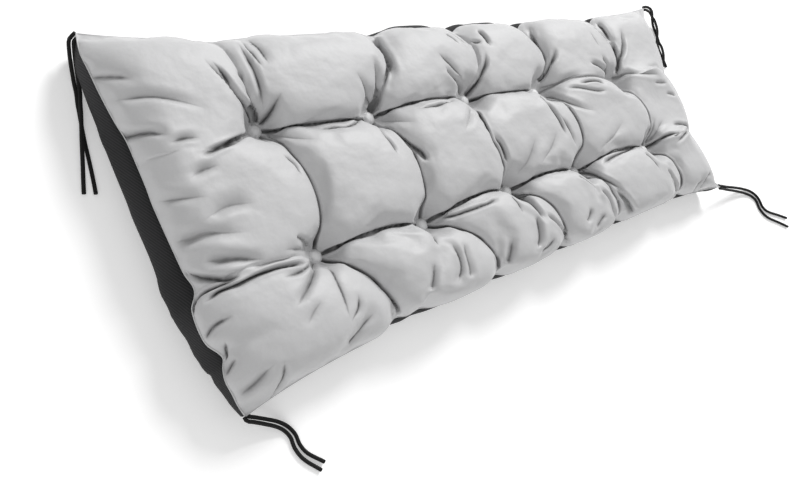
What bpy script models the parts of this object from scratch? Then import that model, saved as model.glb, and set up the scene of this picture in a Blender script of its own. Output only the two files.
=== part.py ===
"""Bench cushion lying on its back.

Metres, +Z up. X runs along the cushion: its near end is at -X and its far end at +X.
The upper long side is at +Y and the lower one at -Y. The origin is under the middle of the
cushion's box, on the surface it lies on; the corner ties are left out of that box.

The cushion is one filled solid under its pale front cloth, tufted by two rows of buttons.
A black back cloth lies under it and wraps up its sides to the seam.
"""

import math

import bmesh
import bpy
import numpy as np

# ---------------------------------------------------------------- driving sizes
CLOTH = 0.002            # thickness of the back cloth
GAP = 0.0003             # clearance between pieces that touch
CROWN = 0.104            # top of a full puff above the surface
BUTTON_SEAT = 0.050      # height of the front cloth under a button

# Seam corners, pinched to thin ears: x, y, height.
CORNERS = {
    "near_lower": (-0.581, -0.265, 0.036),
    "near_upper": (-0.606, 0.265, 0.038),
    "far_lower": (0.599, -0.219, 0.034),
    "far_upper": (0.618, 0.219, 0.036),
}

# How far each side is drawn in between its ears, the seam's height there, how far the back
# cloth bulges past the seam, how far the front cloth bulges past it, how steeply the front
# rises from the seam (1 is a plain slope, 0.5 is round), and how deep the seam is puckered
# where a crease ends.
SIDES = {
    # side: (first corner, last corner, drawn in, seam height, back bulge, front bulge,
    #        steepness, pucker)
    "lower": ("near_lower", "far_lower", 0.032, 0.046, 0.000, 0.005, 0.58, 0.009),
    "upper": ("near_upper", "far_upper", 0.024, 0.050, 0.008, 0.003, 0.60, 0.013),
    "near": ("near_lower", "near_upper", -0.012, 0.062, 0.007, 0.000, 0.55, 0.013),
    "far": ("far_lower", "far_upper", 0.030, 0.048, 0.010, 0.000, 0.95, 0.006),
}
BACK_BULGE, FRONT_BULGE, STEEPNESS, PUCKER = range(4, 8)     # places in the rows above
EAR_SHARPNESS = 6        # how suddenly a side leaves its ears
BULGE_LEVEL = 0.75       # the back bulges most above its middle; 1 would be halfway down
CONTACT_INSET = 0.030    # the flat underside starts this far inside the seam

# Buttons, in two rows from the near end to the far end: x, y.
BUTTON_ROWS = {
    "upper": ((-0.418, 0.093), (-0.217, 0.081), (-0.009, 0.080), (0.166, 0.069), (0.379, 0.057)),
    "lower": ((-0.402, -0.102), (-0.201, -0.102), (-0.001, -0.089), (0.179, -0.090),
              (0.397, -0.086)),
}

# Where the creases of the five button columns and the two button rows reach the seam.
SEAM_ENDS = {
    "upper": (-0.424, -0.139, 0.030, 0.190, 0.404),     # x of each column's crease
    "lower": (-0.306, -0.096, 0.069, 0.234, 0.444),
    "near": (-0.102, 0.072),                            # y of each row's crease
    "far": (-0.080, 0.052),
}
PUCKER_WIDTH = 0.022
PUCKER_FILL = 0.8        # share of a pucker that the back cloth bulges out again

# Creases between neighbouring net points: sideways bow (towards +X or +Y) and the height
# that the crease adds over the straight line between its ends.
ROW_CREASES = {
    # row: (bow, rise) for each stretch from the near seam to the far seam
    "lower": ((0.004, 0.024), (0.006, 0.018), (0.008, 0.017), (0.006, 0.017), (0.010, 0.019),
              (0.006, 0.034)),
    "upper": ((-0.012, 0.044), (-0.008, 0.017), (0.004, 0.017), (-0.003, 0.015), (0.006, 0.020),
              (0.005, 0.034)),
}
COLUMN_CREASES = {
    # band: (bow, rise) for each column from the near end to the far end
    "lower": ((0.010, 0.026), (0.014, 0.028), (0.012, 0.030), (0.010, 0.028), (0.014, 0.026)),
    "middle": ((0.026, 0.018), (0.018, 0.018), (0.012, 0.020), (0.022, 0.018), (0.026, 0.018)),
    "upper": ((-0.008, 0.032), (0.016, 0.026), (0.020, 0.030), (0.012, 0.028), (0.016, 0.026)),
}

# Top of each puff over CROWN, from the near end to the far end.
PUFF_TOPS = {
    "lower": (-0.002, 0.000, -0.003, -0.003, -0.002, -0.009),
    "middle": (0.003, 0.004, 0.003, 0.002, 0.003, -0.006),
    "upper": (0.000, 0.002, -0.001, -0.002, -0.001, -0.009),
}
BANDS = ("lower", "middle", "upper")
COLUMNS = 6              # puffs from the near end to the far end
CREASE_DIP = 0.8         # how sharply a crease dips to its buttons
PUFF_FULLNESS = 2.8      # flatness of a puff's top
PUFF_STEEPNESS = 0.58    # steepness of its sides at the creases
STEPS_LONG = 12          # mesh steps across a puff, along X
STEPS_WIDE = 12          # and along Y
BACK_STEPS = 5           # mesh steps down the back cloth's side

# Covered buttons.
BUTTON_RADIUS = 0.011
BUTTON_BASE_RADIUS = 0.0065
BUTTON_HEIGHT = 0.0075
BUTTON_RIM_HEIGHT = 0.0035
BUTTON_DOME = ((0.80, 0.82), (0.40, 1.00))    # shares of the radius and of the height
BUTTON_SIDES = 12
SEAT_FLAT = 0.017        # the cloth is level under a button out to this radius
SEAT_BLEND = 0.034       # and meets the puffs at this one

# Ties: a doubled cord sewn into each corner. Route of the middle of the pair after its
# corner: x, y, height of the lower strand above the surface it lies on.
TIE_DIAMETER = 0.0056
TIE_TOUCH = 0.0002       # the strands lie this far above the surface
TIE_ROOT_GAP = 0.0008    # from the ear's tip to the strands' ends
TIE_ROOT_HALF = 0.0031   # half the space between the strands at the ear
TIES = {
    # corner: (route, half the space between the strands at their free ends,
    #          half turns of one strand round the other)
    "near_upper": (
        ((-0.6100, 0.2700, 0.032), (-0.6155, 0.2745, 0.028), (-0.6230, 0.272, 0.0235),
         (-0.6260, 0.260, 0.018), (-0.6260, 0.243, 0.011), (-0.6245, 0.222, 0.003),
         (-0.6240, 0.203, 0.000),
         (-0.6275, 0.178, 0.000), (-0.6360, 0.137, 0.000), (-0.6440, 0.108, 0.000),
         (-0.6510, 0.072, 0.000)), 0.0085, 0),
    "near_lower": (
        ((-0.5825, -0.2725, 0.030), (-0.5810, -0.2805, 0.026), (-0.5740, -0.2875, 0.0215),
         (-0.5600, -0.2910, 0.015), (-0.5410, -0.295, 0.008), (-0.5230, -0.303, 0.001),
         (-0.5090, -0.315, 0.000), (-0.5030, -0.331, 0.000), (-0.4960, -0.349, 0.000),
         (-0.4800, -0.367, 0.000)),
        0.0060, 0),
    "far_lower": (
        ((0.6075, -0.2185, 0.028), (0.6300, -0.214, 0.021), (0.6650, -0.211, 0.009),
         (0.7100, -0.213, 0.000), (0.7560, -0.222, 0.000), (0.7880, -0.240, 0.000),
         (0.8000, -0.266, 0.000), (0.8200, -0.296, 0.000), (0.8620, -0.326, 0.000)),
        0.0130, 0),
    "far_upper": (
        ((0.6265, 0.2215, 0.030), (0.6500, 0.223, 0.022), (0.6820, 0.214, 0.009),
         (0.7020, 0.196, 0.000), (0.7030, 0.175, 0.000), (0.6940, 0.151, 0.000),
         (0.6880, 0.124, 0.000), (0.6760, 0.096, 0.000)), 0.0048, 3),
}
STRAND_LIFT = 0.0035     # half the height that one strand climbs to pass over the other
STRAIGHT_STEP = 3 * TIE_DIAMETER
TURNED_STEP = 2 * TIE_DIAMETER
TIE_ROUNDNESS = 2        # bevel resolution of a strand
ROUTE_STEP = 0.05        # steps of a smooth route between two of its points


# ---------------------------------------------------------------- scene and materials
def clear_scene():
    for thing in list(bpy.data.objects):
        bpy.data.objects.remove(thing, do_unlink=True)


def make_material(name, colour, roughness):
    material = bpy.data.materials.new(name)
    material.use_nodes = True
    shader = material.node_tree.nodes["Principled BSDF"]
    shader.inputs["Base Color"].default_value = (*colour, 1.0)
    shader.inputs["Roughness"].default_value = roughness
    shader.inputs["Metallic"].default_value = 0.0
    return material


def add_mesh_object(name, vertices, faces, material):
    """Makes one closed, smooth-shaded mesh object with its faces pointing out."""
    mesh = bpy.data.meshes.new(name)
    mesh.from_pydata([tuple(point) for point in vertices], [], faces)
    shape = bmesh.new()
    shape.from_mesh(mesh)
    bmesh.ops.recalc_face_normals(shape, faces=shape.faces)
    shape.to_mesh(mesh)
    shape.free()
    mesh.materials.append(material)
    mesh.shade_smooth()
    thing = bpy.data.objects.new(name, mesh)
    bpy.context.scene.collection.objects.link(thing)
    return thing


# ---------------------------------------------------------------- the seam line
def ear_bow(share):
    """0 at a side's corners and 1 along most of the side between them."""
    return 1 - np.abs(2 * share - 1) ** EAR_SHARPNESS


def along_axis(side):
    return 0 if side in ("lower", "upper") else 1


def seam_share(side, place):
    """Share of the way along a side at which its seam passes x or y = place."""
    first, last = (CORNERS[corner] for corner in SIDES[side][:2])
    axis = along_axis(side)
    return (place - first[axis]) / (last[axis] - first[axis])


def pucker(side, along):
    """How far the seam is pulled in by the creases that end at it."""
    depth = SIDES[side][PUCKER]
    return sum(depth * np.exp(-((along - place) / PUCKER_WIDTH) ** 2)
               for place in SEAM_ENDS[side])


def seam_line(side, shares):
    """Points of a side's seam: drawn in between its ears, puckered where creases end."""
    first_corner, last_corner, drawn_in, height = SIDES[side][:4]
    first = np.array(CORNERS[first_corner])
    last = np.array(CORNERS[last_corner])
    shares = np.asarray(shares)
    points = first + shares[:, None] * (last - first)
    bow = ear_bow(shares)
    axis = along_axis(side)
    inward = -1.0 if side in ("upper", "far") else 1.0
    points[:, 1 - axis] += inward * (drawn_in * bow + pucker(side, points[:, axis]))
    points[:, 2] += (height - points[:, 2]) * bow
    return points


# ---------------------------------------------------------------- the tufted front
def eased(steps):
    """Shares from 0 to 1, closer together at both ends, where a puff is steep."""
    return 0.5 - 0.5 * np.cos(np.pi * np.arange(steps + 1) / steps)


ACROSS_LONG = eased(STEPS_LONG)
ACROSS_WIDE = eased(STEPS_WIDE)


def net_points():
    """Points that the creases join: seam ends and buttons, by column and row of the net."""
    points = {}
    for row, side in ((0, "lower"), (3, "upper")):
        shares = [0.0] + [seam_share(side, x) for x in SEAM_ENDS[side]] + [1.0]
        for column, point in enumerate(seam_line(side, shares)):
            points[column, row] = point
    for column, side in ((0, "near"), (COLUMNS, "far")):
        shares = [seam_share(side, y) for y in SEAM_ENDS[side]]
        for row, point in zip((1, 2), seam_line(side, shares)):
            points[column, row] = point
    for row, name in ((1, "lower"), (2, "upper")):
        for column, place in enumerate(BUTTON_ROWS[name], start=1):
            points[column, row] = np.array((*place, BUTTON_SEAT))
    return points


def puff(shares, first_steepness=PUFF_STEEPNESS, last_steepness=PUFF_STEEPNESS):
    """Height share of a puff across its cell: steep at its borders and round on top."""
    steepness = np.where(shares < 0.5, first_steepness, last_steepness)
    return (1 - np.abs(2 * shares - 1) ** PUFF_FULLNESS) ** steepness


def crease(start, end, shares, bow, rise, bow_axis, seam_end):
    """A sewn crease from one net point to the next; it fades where it runs to the seam."""
    line = start + shares[:, None] * (end - start)
    swell = np.sin(np.pi * shares)
    line[:, bow_axis] += bow * swell
    faded = {"first": shares < 0.5, "last": shares > 0.5, "none": shares < 0}[seam_end]
    line[:, 2] += rise * np.where(faded, puff(shares), swell ** CREASE_DIP)
    return line


def row_line(net, row, column):
    """Border of a puff that runs along X."""
    if row in (0, 3):
        side = "lower" if row == 0 else "upper"
        ends = [0.0] + [seam_share(side, x) for x in SEAM_ENDS[side]] + [1.0]
        return seam_line(side, ends[column] + ACROSS_LONG * (ends[column + 1] - ends[column]))
    bow, rise = ROW_CREASES["lower" if row == 1 else "upper"][column]
    seam_end = {0: "first", 5: "last"}.get(column, "none")
    return crease(net[column, row], net[column + 1, row], ACROSS_LONG, bow, rise, 1, seam_end)


def column_line(net, column, row):
    """Border of a puff that runs along Y."""
    if column in (0, COLUMNS):
        side = "near" if column == 0 else "far"
        ends = [0.0] + [seam_share(side, y) for y in SEAM_ENDS[side]] + [1.0]
        return seam_line(side, ends[row] + ACROSS_WIDE * (ends[row + 1] - ends[row]))
    bow, rise = COLUMN_CREASES[BANDS[row]][column - 1]
    seam_end = ("first", "none", "last")[row]
    return crease(net[column, row], net[column, row + 1], ACROSS_WIDE, bow, rise, 0, seam_end)


def filled_patch(south, north, west, east):
    """Spans a cell between its four border lines (a Coons patch)."""
    u = ACROSS_LONG[:, None, None]
    v = ACROSS_WIDE[None, :, None]
    between_rows = (1 - v) * south[:, None] + v * north[:, None]
    between_columns = (1 - u) * west[None] + u * east[None]
    twice = ((1 - u) * (1 - v) * south[0] + u * (1 - v) * south[-1]
             + (1 - u) * v * north[0] + u * v * north[-1])
    return between_rows + between_columns - twice


def puff_across(count, number, first_side, last_side, shares):
    """A puff's height share across, with the side's own slope where it ends at a seam."""
    first = SIDES[first_side][STEEPNESS] if number == 0 else PUFF_STEEPNESS
    last = SIDES[last_side][STEEPNESS] if number == count - 1 else PUFF_STEEPNESS
    return puff(shares, first, last)


def front_surface():
    """Grid of points of the front cloth, from the near lower ear to the far upper one."""
    net = net_points()
    grid = np.zeros((COLUMNS * STEPS_LONG + 1, len(BANDS) * STEPS_WIDE + 1, 3))
    for column in range(COLUMNS):
        along = puff_across(COLUMNS, column, "near", "far", ACROSS_LONG)
        for row, band in enumerate(BANDS):
            across = puff_across(len(BANDS), row, "lower", "upper", ACROSS_WIDE)
            patch = filled_patch(row_line(net, row, column), row_line(net, row + 1, column),
                                 column_line(net, column, row), column_line(net, column + 1, row))
            top = CROWN + PUFF_TOPS[band][column]
            patch[:, :, 2] += (top - patch[:, :, 2]) * along[:, None] * across[None, :]
            grid[column * STEPS_LONG:(column + 1) * STEPS_LONG + 1,
                 row * STEPS_WIDE:(row + 1) * STEPS_WIDE + 1] = patch
    push_front_sides(grid)
    level_button_seats(grid)
    return grid


def push_front_sides(grid):
    """Lets the front cloth bulge a little past the seam, highest a few steps inside it."""
    reach = STEPS_WIDE // 2
    for step in range(1, reach):
        out = math.sin(math.pi * step / reach)
        fade_long = puff(np.linspace(0, 1, grid.shape[0]))
        fade_wide = puff(np.linspace(0, 1, grid.shape[1]))
        grid[:, step, 1] -= SIDES["lower"][FRONT_BULGE] * out * fade_long
        grid[:, -1 - step, 1] += SIDES["upper"][FRONT_BULGE] * out * fade_long
        grid[step, :, 0] -= SIDES["near"][FRONT_BULGE] * out * fade_wide
        grid[-1 - step, :, 0] += SIDES["far"][FRONT_BULGE] * out * fade_wide


def level_button_seats(grid):
    for row in BUTTON_ROWS.values():
        for place in row:
            away = np.hypot(grid[..., 0] - place[0], grid[..., 1] - place[1])
            share = np.clip((away - SEAT_FLAT) / (SEAT_BLEND - SEAT_FLAT), 0, 1)
            share = share * share * (3 - 2 * share)
            grid[..., 2] = BUTTON_SEAT + (grid[..., 2] - BUTTON_SEAT) * share


# ---------------------------------------------------------------- the sides and the underside
def rim_indices(columns, rows):
    """Grid positions round the edge, in one closed turn."""
    rim = [(column, 0) for column in range(columns - 1)]
    rim += [(columns - 1, row) for row in range(rows - 1)]
    rim += [(column, rows - 1) for column in range(columns - 1, 0, -1)]
    rim += [(0, row) for row in range(rows - 1, 0, -1)]
    return rim


def rim_frames(grid):
    """For each rim point: its place, its outward direction and its back bulge."""
    columns, rows = grid.shape[:2]
    frames = []
    for column, row in rim_indices(columns, rows):
        point = grid[column, row]
        if row in (0, rows - 1):
            side = "lower" if row == 0 else "upper"
        else:
            side = "near" if column == 0 else "far"
        axis = along_axis(side)
        share = seam_share(side, point[axis])
        outward = np.ones(2)
        outward[axis] = 2 * share - 1
        outward[1 - axis] = 1.0 if side in ("upper", "far") else -1.0
        bulge = SIDES[side][BACK_BULGE] * ear_bow(share) + PUCKER_FILL * pucker(side, point[axis])
        frames.append((point, outward, bulge))
    return frames


def side_profile(height, bulge, thickness):
    """The back cloth's side in section, from the seam down to the flat underside.

    Returns outward distances and heights, offset into the cushion by thickness.
    """
    shares = np.arange(BACK_STEPS + 1) / BACK_STEPS
    out = bulge * np.sin(np.pi * shares ** BULGE_LEVEL) - CONTACT_INSET * shares ** 3
    up = height * (1 - np.sin(shares * np.pi / 2))
    run, fall = np.gradient(out), np.gradient(up)
    run[0], fall[0] = 0.0, -1.0
    run[-1], fall[-1] = -1.0, 0.0
    length = np.hypot(run, fall)
    return out + thickness * fall / length, up - thickness * run / length


def back_rings(frames, thickness, seam_drop=0.0, seam_inset=0.0):
    """Rings of points down the sides of the back cloth, at a depth inside its outer face."""
    rings = [[] for _ in range(BACK_STEPS + 1)]
    for point, outward, bulge in frames:
        out, up = side_profile(point[2], bulge, thickness)
        up[0] -= seam_drop
        out[0] -= seam_inset
        for ring, distance, height in zip(rings, out, up):
            ring.append((*(point[:2] + outward * distance), height))
    return rings


def join_rings(first, second):
    """Triangles between two rings of vertex numbers, cut the same way in every piece."""
    faces = []
    for k, here in enumerate(first):
        after = (k + 1) % len(first)
        faces += [(here, first[after], second[after]), (here, second[after], second[k])]
    return faces


def add_rings(vertices, rings):
    """Adds rings of points and returns their vertex numbers."""
    numbers = []
    for ring in rings:
        numbers.append(list(range(len(vertices), len(vertices) + len(ring))))
        vertices.extend(ring)
    return numbers


def build_front(grid, frames, material):
    """The filled cushion: tufted front, a ledge at the seam, and sides inside the back cloth."""
    columns, rows = grid.shape[:2]
    vertices = [tuple(point) for point in grid.reshape(-1, 3)]
    faces = [(c * rows + r, (c + 1) * rows + r, (c + 1) * rows + r + 1, c * rows + r + 1)
             for c in range(columns - 1) for r in range(rows - 1)]
    rim = [column * rows + row for column, row in rim_indices(columns, rows)]
    rings = add_rings(vertices, back_rings(frames, CLOTH + GAP, seam_inset=GAP))
    for upper, lower in zip([rim] + rings, rings):
        faces += join_rings(upper, lower)
    faces.append(tuple(rings[-1]))
    return add_mesh_object("front_panel", vertices, faces, material)


def build_back(frames, material):
    """The back cloth: a flat underside whose sides bulge up to the seam."""
    vertices = []
    outer = add_rings(vertices, back_rings(frames, 0.0, GAP))
    inner = add_rings(vertices, back_rings(frames, CLOTH, GAP))
    faces = join_rings(outer[0], inner[0])
    for upper, lower in zip(outer, outer[1:]):
        faces += join_rings(upper, lower)
    for upper, lower in zip(inner, inner[1:]):
        faces += join_rings(upper, lower)
    faces += [tuple(outer[-1]), tuple(inner[-1])]
    return add_mesh_object("back_panel", vertices, faces, material)


# ---------------------------------------------------------------- buttons
def build_button(name, place, material):
    """A covered button: a dome on a narrower base, turned round its middle."""
    base = BUTTON_SEAT + GAP
    section = [(BUTTON_BASE_RADIUS, 0.0), (BUTTON_RADIUS, BUTTON_RIM_HEIGHT)]
    section += [(across * BUTTON_RADIUS, up * BUTTON_HEIGHT) for across, up in BUTTON_DOME]
    vertices = []
    turns = [2 * math.pi * side / BUTTON_SIDES for side in range(BUTTON_SIDES)]
    rings = add_rings(vertices, [
        [(place[0] + radius * math.cos(turn), place[1] + radius * math.sin(turn), base + height)
         for turn in turns] for radius, height in section])
    faces = [tuple(rings[0]), tuple(rings[-1])]
    for lower, upper in zip(rings, rings[1:]):
        faces += join_rings(lower, upper)
    return add_mesh_object(name, vertices, faces, material)


# ---------------------------------------------------------------- ties
def smooth_route(route, step):
    """Even points on a smooth curve through the route's points."""
    points = np.array(route)
    padded = np.vstack((2 * points[0] - points[1], points, 2 * points[-1] - points[-2]))
    fine = []
    for a, b, c, d in zip(padded, padded[1:], padded[2:], padded[3:]):
        for t in np.arange(0, 1, ROUTE_STEP):
            fine.append(0.5 * (2 * b + (c - a) * t + (2 * a - 5 * b + 4 * c - d) * t * t
                               + (3 * b - a - 3 * c + d) * t ** 3))
    fine = np.array(fine + [points[-1]])
    lengths = np.concatenate(([0], np.cumsum(np.linalg.norm(np.diff(fine, axis=0), axis=1))))
    count = max(2, round(lengths[-1] / step) + 1)
    places = np.linspace(0, lengths[-1], count)
    return np.stack([np.interp(places, lengths, fine[:, axis]) for axis in range(3)], axis=1)


def strand_pair(corner, route, end_half, half_turns):
    """The two strands of a tie, side by side or turned round each other."""
    floor = TIE_DIAMETER / 2 + TIE_TOUCH
    ear = np.array(CORNERS[corner]) - (0, 0, floor)
    away = np.array(route[0]) - ear
    root = ear + away * TIE_ROOT_GAP / np.linalg.norm(away)
    middle = smooth_route((root, *route), TURNED_STEP if half_turns else STRAIGHT_STEP)
    middle[:, 2] = np.maximum(middle[:, 2], 0.0)
    shares = np.linspace(0, 1, len(middle))
    heading = np.gradient(middle[:, :2], axis=0)
    heading /= np.linalg.norm(heading, axis=1)[:, None]
    sideways = np.stack((-heading[:, 1], heading[:, 0]), axis=1)
    half = TIE_ROOT_HALF + (end_half - TIE_ROOT_HALF) * shares ** 2
    turn = np.pi * half_turns * shares
    strands = []
    for sign in (1.0, -1.0):
        strand = middle.copy()
        strand[:, :2] += sign * sideways * (half * np.cos(turn))[:, None]
        strand[:, 2] += floor + STRAND_LIFT * (np.abs(np.sin(turn)) + sign * np.sin(turn))
        strands.append(strand)
    return strands


def build_strand(name, points, material):
    curve = bpy.data.curves.new(name, "CURVE")
    curve.dimensions = "3D"
    curve.bevel_depth = TIE_DIAMETER / 2
    curve.bevel_resolution = TIE_ROUNDNESS
    curve.use_fill_caps = True
    spline = curve.splines.new("POLY")
    spline.points.add(len(points) - 1)
    for spot, point in zip(spline.points, points):
        spot.co = (*point, 1.0)
    curve.materials.append(material)
    thing = bpy.data.objects.new(name, curve)
    bpy.context.scene.collection.objects.link(thing)
    return thing


# ---------------------------------------------------------------- the whole cushion
def build_cushion():
    clear_scene()
    front_cloth = make_material("front_cloth", (0.62, 0.62, 0.62), 0.45)
    button_cloth = make_material("button_cloth", (0.66, 0.66, 0.66), 0.42)
    back_cloth = make_material("back_cloth", (0.03, 0.03, 0.032), 0.85)
    tie_cord = make_material("tie_cord", (0.02, 0.02, 0.021), 0.80)
    grid = front_surface()
    frames = rim_frames(grid)
    build_front(grid, frames, front_cloth)
    build_back(frames, back_cloth)
    for row, places in BUTTON_ROWS.items():
        for number, place in enumerate(places, start=1):
            build_button(f"button_{row}_{number}", place, button_cloth)
    for corner, tie in TIES.items():
        for letter, points in zip("ab", strand_pair(corner, *tie)):
            build_strand(f"tie_{corner}_{letter}", points, tie_cord)


build_cushion()
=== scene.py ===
# %% [markdown]
# # A tufted bench cushion, lying on its back
#
# The real object is one long pad: a pale satin front over loose filling, a black woven back that
# wraps up the sides, ten covered buttons pulled down into the filling, and a doubled tie cord at
# each corner. The frame below holds each of these as a plain solid at its true size. This script
# puts the finished cloth, buttons and cords where those solids are, and never moves the solids.

# %% Load the frame
import math

import bmesh
import bpy
import numpy as np
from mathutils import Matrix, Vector
from mathutils.bvhtree import BVHTree


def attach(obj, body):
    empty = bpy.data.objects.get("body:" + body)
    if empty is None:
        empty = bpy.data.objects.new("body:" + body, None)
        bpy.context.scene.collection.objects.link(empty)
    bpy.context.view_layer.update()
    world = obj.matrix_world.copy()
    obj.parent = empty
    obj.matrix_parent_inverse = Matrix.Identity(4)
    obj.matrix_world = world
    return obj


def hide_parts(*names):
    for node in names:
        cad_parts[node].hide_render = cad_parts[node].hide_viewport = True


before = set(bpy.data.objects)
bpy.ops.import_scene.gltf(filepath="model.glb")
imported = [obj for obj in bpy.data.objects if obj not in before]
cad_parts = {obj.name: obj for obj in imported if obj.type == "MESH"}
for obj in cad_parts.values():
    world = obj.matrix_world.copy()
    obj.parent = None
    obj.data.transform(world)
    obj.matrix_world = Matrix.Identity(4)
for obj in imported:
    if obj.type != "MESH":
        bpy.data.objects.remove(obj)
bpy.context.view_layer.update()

MM = 0.001

# %% [markdown]
# ## The camera
#
# The camera looks down at the front from the near end, a little rolled, as the photograph does.
# It could be aimed with a constraint, but a constraint leaves out the roll, and three angles are
# enough. It comes first because the folds further on are laid out as this camera sees them.

# %% Camera
CAMERA_PLACE = (-1.0635, -0.2712, 1.0660)
CAMERA_ANGLES = (22.7299, -32.8820, -26.9513)    # degrees about X, Y and Z
LENS = 39.43
SENSOR = 36              # its width in millimetres


def add_object(name, data):
    """Puts new data in the scene as an object."""
    thing = bpy.data.objects.new(name, data)
    bpy.context.scene.collection.objects.link(thing)
    return thing


camera_data = bpy.data.cameras.new("camera")
camera_data.lens = LENS
camera_data.sensor_width = SENSOR
camera = add_object("camera", camera_data)
camera.location = CAMERA_PLACE
camera.rotation_euler = [math.radians(angle) for angle in CAMERA_ANGLES]
bpy.context.scene.camera = camera
print("camera:", LENS, "mm lens at", CAMERA_PLACE)

# %% [markdown]
# ## The corner ties
#
# Each corner has a doubled cord sewn into it, with two free ends. A cord could be simulated, but a
# limp cord that lies on a floor is quicker and surer drawn: a smooth route for the middle of the
# pair, and two strands beside it that spread apart or turn round each other. The routes are the
# same as the solids'.

# %% Tie routes
TIE_DIAMETER = 0.0056
CORNERS = {
    "near_lower": (-0.5726, -0.2676, 0.034),
    "near_upper": (-0.607, 0.271, 0.043),
    "far_lower": (0.604, -0.203, 0.046),
    "far_upper": (0.641, 0.2195, 0.038),
}
TIES = {
    # corner: (route of the pair, half the space between its free ends, half turns)
    "near_upper": (
        ((-0.6115, 0.2690, 0.034), (-0.6145, 0.2655, 0.031), (-0.6155, 0.2560, 0.024),
         (-0.6158, 0.2450, 0.016), (-0.6160, 0.2335, 0.009), (-0.6165, 0.2217, 0.003),
         (-0.6180, 0.2077, 0.000), (-0.6225, 0.1907, 0.000), (-0.6263, 0.1739, 0.000),
         (-0.6343, 0.1405, 0.000), (-0.6411, 0.1075, 0.000), (-0.6496, 0.0682, 0.000)),
        0.0075, 1),
    "near_lower": (
        ((-0.5710, -0.2725, 0.030), (-0.5603, -0.2769, 0.025), (-0.5425, -0.2847, 0.016),
         (-0.5257, -0.2929, 0.008), (-0.5120, -0.3030, 0.001), (-0.5055, -0.3160, 0.000),
         (-0.5050, -0.3310, 0.000), (-0.4985, -0.3477, 0.000), (-0.4800, -0.3687, 0.000)),
        0.0060, 0),
    "far_lower": (
        ((0.6115, -0.2035, 0.038), (0.6300, -0.2055, 0.032), (0.6634, -0.2108, 0.022),
         (0.7052, -0.2178, 0.012), (0.7472, -0.2269, 0.003), (0.7763, -0.2385, 0.000),
         (0.7915, -0.2560, 0.000), (0.7920, -0.2780, 0.000), (0.8050, -0.2965, 0.000),
         (0.8411, -0.3164, 0.000), (0.8666, -0.3307, 0.000)), 0.0110, 0),
    "far_upper": (
        ((0.6500, 0.2195, 0.034), (0.6637, 0.2175, 0.029), (0.6828, 0.2131, 0.020),
         (0.6980, 0.2034, 0.010), (0.7040, 0.1908, 0.002), (0.7032, 0.1779, 0.000),
         (0.6996, 0.1653, 0.000), (0.6915, 0.1401, 0.000), (0.6866, 0.1281, 0.000),
         (0.6786, 0.0916, 0.000)), 0.0048, 3),
}
print("ties:", len(TIES))


# %% A smooth route
def smooth_route(route, step):
    """Even points on a smooth curve through the route's points."""
    points = np.array(route, float)
    padded = np.vstack((2 * points[0] - points[1], points, 2 * points[-1] - points[-2]))
    fine = []
    for a, b, c, d in zip(padded, padded[1:], padded[2:], padded[3:]):
        for t in np.arange(0, 1, 0.05):
            fine.append(0.5 * (2 * b + (c - a) * t + (2 * a - 5 * b + 4 * c - d) * t * t
                               + (3 * b - a - 3 * c + d) * t ** 3))
    fine = np.array(fine + [points[-1]])
    lengths = np.concatenate(([0], np.cumsum(np.linalg.norm(np.diff(fine, axis=0), axis=1))))
    count = max(2, round(lengths[-1] / step) + 1)
    places = np.linspace(0, lengths[-1], count)
    return np.stack([np.interp(places, lengths, axis) for axis in fine.T], axis=1)


# %% Two strands beside a route
TIE_TOUCH = 0.0002       # a strand lies this far above the floor
TIE_ROOT_GAP = 0.0008    # and begins this far from its corner
TIE_ROOT_HALF = 0.0031   # half the space between the strands there
STRAND_LIFT = 0.0035     # how far one strand rises to pass over the other
TIE_STEP = 0.6 * TIE_DIAMETER


def strand_pair(corner, route, end_half, half_turns):
    """Middle lines of a tie's two strands."""
    floor = TIE_DIAMETER / 2 + TIE_TOUCH
    ear = np.array(CORNERS[corner]) - (0, 0, floor)
    away = np.array(route[0]) - ear
    root = ear + away * TIE_ROOT_GAP / np.linalg.norm(away)
    middle = smooth_route((root, *route), TIE_STEP)
    middle[:, 2] = np.maximum(middle[:, 2], 0.0)
    shares = np.linspace(0, 1, len(middle))
    heading = np.gradient(middle[:, :2], axis=0)
    heading /= np.linalg.norm(heading, axis=1)[:, None]
    sideways = np.stack((-heading[:, 1], heading[:, 0]), axis=1)
    half = TIE_ROOT_HALF + (end_half - TIE_ROOT_HALF) * shares ** 2
    turn = np.pi * half_turns * shares
    strands = []
    for sign in (1.0, -1.0):
        strand = middle.copy()
        strand[:, :2] += sign * sideways * (half * np.cos(turn))[:, None]
        strand[:, 2] += floor + STRAND_LIFT * (np.abs(np.sin(turn)) + sign * np.sin(turn))
        strands.append(strand)
    return strands


# %% [markdown]
# A braided cord is a tube whose surface has small slanting ribs. It could be swept along its route
# as a mesh. A curve with a round bevel does the same in fewer steps, and its UV map, set here to
# metres along and round the cord, makes one braid fit strands of any length.

# %% Tie strands
BEVEL_STEPS = 4


def select_only(thing):
    """Selects one object, because an operator acts on all that is selected."""
    bpy.ops.object.select_all(action="DESELECT")
    thing.select_set(True)
    bpy.context.view_layer.objects.active = thing


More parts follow.
